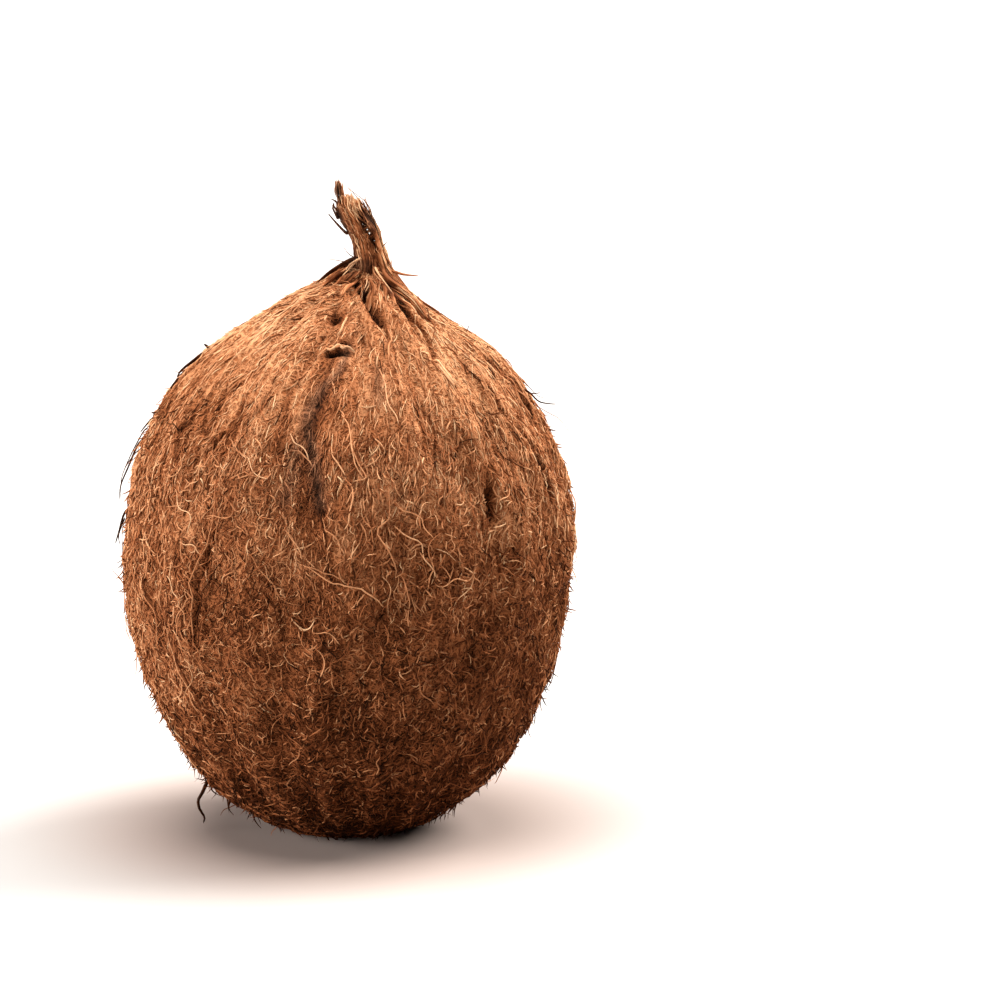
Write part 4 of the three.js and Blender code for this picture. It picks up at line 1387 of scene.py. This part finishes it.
class COCONUT_OT_tuft(Operator):
    """Builds the straps of the tuft, the fine fibres that run along them, and the twigs"""

    bl_idname = "coconut.tuft"
    bl_label = "Tuft"

    def execute(self, context):
        settings = context.scene.nut_settings
        rng = np.random.default_rng(TUFT_SEED)
        stations, sides = STRAP_STATIONS, STRAP_SIDES
        across, depth, run, top, half = strap_table(rng, STRAPS)
        drift = rng.normal(0, STRAP_DRIFT, (STRAPS, 2))
        lines = [
            strap_line(across[i], depth[i], run[i], top[i], drift[i], stations) for i in range(STRAPS)
        ]
        lines = np.stack(lines + [through(spike, stations) for spike in SPIKE])
        half = np.concatenate([half, [SPIKE_WIDTH] * len(SPIKE)])
        count = len(lines)
        t = np.linspace(0, 1, stations)
        blade, spike_blade = np.interp(t, BLADE_AT, BLADE), np.interp(t, BLADE_AT, SPIKE_BLADE)
        blade = np.where(np.arange(count)[:, None] < STRAPS, blade, spike_blade)
        blade = blade * rng.uniform(*BLADE_RANGE, (count, stations))
        half_width = half[:, None] * MM * blade
        facing = unit(lines - self.core(lines))
        ridges = rng.uniform(*RIDGES, (count, 1, sides))
        ridges = ridges + rng.uniform(-RIDGE_CHANGE, RIDGE_CHANGE, (count, stations, sides))
        surface = tubes(lines, facing, half_width, STRAP_THICKNESS * half_width, sides, ridges)
        # Tone from the tuft's shades, the darkest of them painted shade
        tone = STRAP_TONE + tuft_shade(lines)[0]
        stripes = rng.normal(0, STRAP_VARIES, (count, 1)) + rng.normal(0, SIDE_VARIES, (count, sides))
        rings = tone[:, 1:-1, None] + stripes[:, None]
        rings = (rings + rng.normal(0, POINT_VARIES, (count, stations - 2, sides))).reshape(count, -1)
        tones = np.concatenate([tone[:, :1], rings, tone[:, -1:]], axis=1) - STRAP_TONE_LOSS
        material = fibre_material("tuft coir", 0.7)
        make_piece("tuft_straps", surface, np.clip(tones, DARKEST, 1).ravel(), material)
        self.add_fibres(rng, settings.tuft_fibres, lines, facing, half_width, material)
        self.add_twigs(material)
        return {"FINISHED"}

    def core(self, lines):
        """The bundle's middle line at each point's height, lowered so that the foot's straps face up."""
        heights, middle, _ = np.array(TUFT_OUTLINE).T
        z = lines[..., 2] / MM
        x = np.interp(z, heights, middle)
        drop = FOOT_BELOW * smoothstep(z, *FOOT_TURN)
        return np.stack([x, 0 * x, z - CORE_BELOW - drop], axis=-1) * MM

    def add_fibres(self, rng, count, straps, facings, half_widths, material):
        """Fine fibres on each strap: the strap's line over part of its length, moved to its rim, with a
        little sway of their own and the tips spread."""
        stations = 9
        which = np.arange(count) % len(straps)
        frayed = rng.random(count) < FRAYED_SHARE
        start = np.where(frayed, rng.uniform(*FRAYED_START, count), rng.uniform(*FIBRE_START, count))
        end = np.where(frayed, 1, np.minimum(start + rng.uniform(*FIBRE_REACH, count), 1))
        t = np.linspace(0, 1, stations)
        at = (start[:, None] + (end - start)[:, None] * t) * (straps.shape[1] - 1)
        before = np.minimum(at.astype(int), straps.shape[1] - 2)
        share = at - before
        pick = which[:, None]
        lines = straps[pick, before] * (1 - share[..., None]) + straps[pick, before + 1] * share[..., None]
        half_width = half_widths[pick, before] * (1 - share) + half_widths[pick, before + 1] * share
        half_width = np.maximum(half_width, LEAST_WIDTH)
        tangent = unit(np.gradient(lines, axis=1))
        side = unit(np.cross(tangent, facings[pick, before]))
        face = np.cross(side, tangent)
        turn = rng.uniform(0, TAU, (count, 1)) + rng.normal(0, 1.0, (count, 1)) * t
        turn = turn + rng.uniform(0, 0.5, (count, 1)) * np.sin(TAU * (1.5 * t + rng.random((count, 1))))
        tip_out = rng.choice(TIP_OUT[0], (count, 1), p=TIP_OUT[1])
        spread = FIBRE_OUT + tip_out * t**3 + FRAYED_OUT * frayed[:, None] * t
        wide = half_width * spread * np.cos(turn)
        thick = FIBRE_FLATNESS * half_width * spread * np.sin(turn)
        lines = lines + wide[..., None] * side + thick[..., None] * face
        half = 0.13 * MM * rng.uniform(0.6, 1.5, (count, 1)) * swell(t, 3)
        outward = unit(np.cos(turn)[..., None] * side + np.sin(turn)[..., None] * face)
        surface = tubes(lines, outward, half, half)
        # Tone from the tuft's shades, the darkest of them painted shade
        tone = TUFT_FIBRE_TONE + FRAYED_TONE * frayed[:, None] + tuft_shade(lines)[0]
        tones = fibre_tones(rng, tone, 0.2)
        make_piece("tuft_fibres", surface, tones, material)

    def add_twigs(self, material):
        """The few stray twigs of the tuft, each tapering to its tip."""
        surface, tones = tapered(TWIGS, 14, 8, 0.8)
        make_piece("tuft_twigs", surface, tones, material)


# Loose hairs that stand off the outline: half width, tone, and places from the root on
HAIRS = (
    (0.22, 0.03, ((-50.6, 1, 103.2), (-52.0, 2, 102.0), (-55.2, 4, 96.3), (-57.8, 5, 90.5),
     (-58.2, 3, 87.1))),
    (0.36, 0.03, ((-51.0, -2, 101.1), (-53.0, -2, 99.2), (-55.6, -1, 93.5), (-57.4, -3, 89.0),
     (-57.5, -5, 85.2))),
    (0.14, 0.2, ((-52.4, -5, 98.7), (-55.0, -6, 95.5), (-56.6, -7, 91.9), (-57.2, -6, 87.3))),
    (0.4, 0.02, ((-55.6, 3, 82.5), (-57.4, 3, 80.5), (-59.0, 5, 75.7), (-60.4, 8, 71.7))),
    (0.22, 0.04, ((-57.2, 4, 79.7), (-58.9, 5, 75.5), (-58.9, 3, 74.1), (-58.3, 1, 72.8))),
    (0.16, 0.1, ((-55.0, -1, 80.8), (-56.9, -2, 79.0), (-57.2, -4, 76.3), (-57.0, -5, 73.5))),
    (0.12, 0.5, ((-55.0, 0, 62.6), (-58.4, 0, 64.4), (-60.0, 0, 66.0), (-60.6, 0, 67.4))),
    (0.5, 0.03, ((-36.0, 2, 122.5), (-39.2, 1, 120.2), (-41.6, -1, 118.4), (-42.6, -4, 116.9))),
    (0.34, 0.04, ((-42.0, -3, 116.7), (-43.7, -2, 114.8), (-45.3, 0, 112.2), (-46.6, 3, 109.7))),
    (0.4, 0.04, ((-48.0, 0, 107.0), (-49.0, 0, 107.3), (-49.6, 0, 107.3))),
    (0.42, 0.04, ((-47.0, 3, 107.1), (-48.6, 1, 106.2), (-50.4, -1, 104.8), (-52.4, -2, 102.4))),
    (0.6, 0.03, ((-33.6, -8, 14.0), (-35.8, -9, 12.9), (-37.1, -10.5, 10.3), (-38.2, -11, 8.3),
     (-38.0, -9.5, 5.6), (-37.0, -7.5, 2.9), (-37.4, -7, 1.0))),
    (0.3, 0.05, ((-33.4, -9, 12.6), (-35.0, -9, 11.6), (-34.6, -9, 10.2), (-33.2, -9, 9.2))),
    (0.26, 0.06, ((-29.2, -12, 9.6), (-30.2, -13, 7.8), (-30.0, -13, 6.2), (-28.8, -13, 4.8))),
    (0.26, 0.06, ((-23.4, -15, 7.4), (-23.8, -16, 5.8), (-23.0, -16, 3.8), (-21.7, -16, 2.2))),
    (0.16, 0.3, ((-28.0, -13, 8.0), (-29.6, -14, 7.4), (-31.4, -14, 6.6), (-32.4, -14, 5.0))),
    (0.16, 0.5, ((-17.0, -20, 5.6), (-17.6, -21, 4.0), (-18.6, -21, 2.8), (-19.0, -21, 1.6))),
    (0.24, 0.14, ((44.6, 1, 113.4), (46.9, 1, 112.2), (48.4, 2, 112.0), (49.7, 4, 111.9))),
    (0.28, 0.08, ((45.0, -1, 113.6), (46.9, -2, 112.7), (49.2, -2, 110.5), (52.0, -4, 110.2),
     (53.6, -6, 110.4))),
    (0.12, 0.4, ((46.6, 0, 110.4), (49.7, 1, 108.3), (52.3, 3, 106.5), (54.6, 4, 105.0),
     (57.7, 2, 101.1))),
    (0.14, 0.2, ((44.0, 2, 115.6), (46.0, 3, 114.3), (48.6, 2, 111.6), (50.6, -1, 111.2))),
    (0.18, 0.14, ((28.6, 0, 127.6), (30.2, 0, 127.6), (31.0, 0, 128.6), (31.6, 0, 130.2))),
    (0.5, 0.03, ((-34.0, 0, 123.4), (-35.2, 0, 124.4), (-35.9, 0, 125.0))),
    (0.22, 0.2, ((11.8, 55.0, 70.5), (12.3, 57.8, 67.0), (11.8, 58.8, 63.0), (12.4, 59.0, 59.0),
     (12.8, 58.6, 55.0))),
    (0.24, 0.3, ((-20.8, 44.6, 36.3), (-22.1, 47.5, 34.0), (-22.7, 48.5, 31.0), (-22.7, 48.7, 28.0),
     (-22.3, 48.1, 25.0))),
)


class COCONUT_OT_hairs(Operator):
    """Builds the loose hairs that stand off the outline"""

    bl_idname = "coconut.hairs"
    bl_label = "Loose hairs"

    def execute(self, context):
        surface, tones = tapered(HAIRS, 16, 6, 0.75)
        make_piece("loose_hairs", surface, tones, fibre_material("loose coir", 0.7))
        return {"FINISHED"}


def add_sun(name, towards, strength, spread, colour):
    """A sun that shines from a direction, with a soft edge of that many degrees."""
    lamp = bpy.data.lights.new(name, "SUN")
    lamp.energy = strength
    lamp.angle = np.radians(spread)
    lamp.color = colour
    light = bpy.data.objects.new(name, lamp)
    light.rotation_euler = Vector(towards).to_track_quat("Z", "Y").to_euler()
    bpy.context.scene.collection.objects.link(light)
    return light


# Suns: setting of each one's strength, where it shines from, its soft edge in degrees, and its colour
SUNS = (
    ("key", (0.7, 0.34, 0.68), 40, (1, 0.97, 0.93)),
    ("top", (-0.05, 0.05, 1.0), 50, (1, 0.98, 0.95)),
    ("fill", (-0.97, -0.25, 0.1), 50, (1, 0.98, 0.96)),
)
# Half width of the floor, in metres, its colours near the nut and away from it, and where each begins.
# Near the nut it is darker and warmer, as a painted shadow
FLOOR_HALF = 30.0
FLOOR_AND_SHADOW_COLOURS = ((0.4, 0.32, 0.285), (0.46, 0.45, 0.44))
SHADOW_REACH = (40 * MM, 110 * MM)


class COCONUT_OT_stage(Operator):
    """Sets a pale floor with a painted shadow round the nut, soft studio light and the camera"""

    bl_idname = "coconut.stage"
    bl_label = "Stage"

    def execute(self, context):
        settings = context.scene.stage_settings
        self.add_floor()
        self.add_sky(settings.sky)
        for setting, towards, spread, colour in SUNS:
            add_sun(f"{setting}_light", towards, getattr(settings, setting), spread, colour)
        self.add_camera(settings)
        context.scene.view_settings.view_transform = "Standard"
        return {"FINISHED"}

    def add_floor(self):
        """A wide flat square just under the nut, darker and warmer near it as a painted shadow."""
        corners = [(x * FLOOR_HALF, y * FLOOR_HALF, 0) for x, y in ((-1, -1), (1, -1), (1, 1), (-1, 1))]
        mesh = bpy.data.meshes.new("floor")
        mesh.from_pydata(corners, [], [(0, 1, 2, 3)])
        material, nodes, links, shader = fresh_material("pale paper")
        place = nodes.new("ShaderNodeTexCoord").outputs["Object"]
        reach = nodes.new("ShaderNodeVectorMath")
        reach.operation = "LENGTH"
        links.new(place, reach.inputs[0])
        # Painted shadow: the floor turns darker and warmer towards the nut
        ramp = nodes.new("ShaderNodeValToRGB")
        ramp.color_ramp.interpolation = "EASE"
        for element, colour, distance in zip(ramp.color_ramp.elements, FLOOR_AND_SHADOW_COLOURS, SHADOW_REACH):
            element.position = distance
            element.color = (*colour, 1)
        links.new(reach.outputs["Value"], ramp.inputs["Fac"])
        links.new(ramp.outputs["Color"], shader.inputs["Base Color"])
        shader.inputs["Roughness"].default_value = 0.8
        shader.inputs["Specular IOR Level"].default_value = 0.1
        mesh.materials.append(material)
        floor = bpy.data.objects.new("floor", mesh)
        bpy.context.scene.collection.objects.link(floor)

    def add_sky(self, strength):
        """Even white light from all round."""
        world = bpy.data.worlds.new("studio")
        world.use_nodes = True
        background = world.node_tree.nodes["Background"]
        background.inputs["Color"].default_value = (1, 1, 1, 1)
        background.inputs["Strength"].default_value = strength
        bpy.context.scene.world = world

    def add_camera(self, settings):
        """A camera at the viewing angle of the photo."""
        lens = bpy.data.cameras.new("camera")
        lens.lens = settings.lens
        lens.sensor_width = 36
        lens.clip_end = 100
        camera = bpy.data.objects.new("camera", lens)
        back = Vector((0, -np.cos(settings.elevation), np.sin(settings.elevation)))
        camera.location = Vector(settings.aim) + settings.distance * back
        camera.rotation_euler = back.to_track_quat("Z", "Y").to_euler()
        bpy.context.scene.collection.objects.link(camera)
        bpy.context.scene.camera = camera


class COCONUT_PT_panel(Panel):
    """Lists the steps that build the coconut"""

    bl_idname = "COCONUT_PT_panel"
    bl_label = "Coconut"
    bl_space_type = "VIEW_3D"
    bl_region_type = "UI"
    bl_category = "Coconut"

    def draw(self, context):
        for step in STEPS:
            self.layout.operator(step.bl_idname)
        for group in ("nut_settings", "coir_colours", "stage_settings"):
            box = self.layout.box()
            settings = getattr(context.scene, group)
            for name in settings.bl_rna.properties.keys():
                if name not in ("rna_type", "name"):
                    box.prop(settings, name)


STEPS = (
    COCONUT_OT_stage,
    COCONUT_OT_husk_body,
    COCONUT_OT_felt,
    COCONUT_OT_crown,
    COCONUT_OT_strands,
    COCONUT_OT_tuft,
    COCONUT_OT_hairs,
)
SETTINGS = {
    "nut_settings": NutSettings,
    "coir_colours": CoirColours,
    "stage_settings": StageSettings,
}


def register():
    """Adds the settings, the steps and the panel to Blender."""
    for name, group in SETTINGS.items():
        bpy.utils.register_class(group)
        setattr(bpy.types.Scene, name, PointerProperty(type=group))
    for step in (*STEPS, COCONUT_PT_panel):
        bpy.utils.register_class(step)


def unregister():
    """Takes them out again."""
    for step in reversed((*STEPS, COCONUT_PT_panel)):
        bpy.utils.unregister_class(step)
    for name, group in SETTINGS.items():
        delattr(bpy.types.Scene, name)
        bpy.utils.unregister_class(group)


def main():
    """Builds every piece."""
    register()
    bpy.ops.coconut.stage()
    bpy.ops.coconut.husk_body()
    bpy.ops.coconut.felt()
    bpy.ops.coconut.crown()
    bpy.ops.coconut.strands()
    bpy.ops.coconut.tuft()
    bpy.ops.coconut.hairs()


if __name__ == "__main__":
    main()
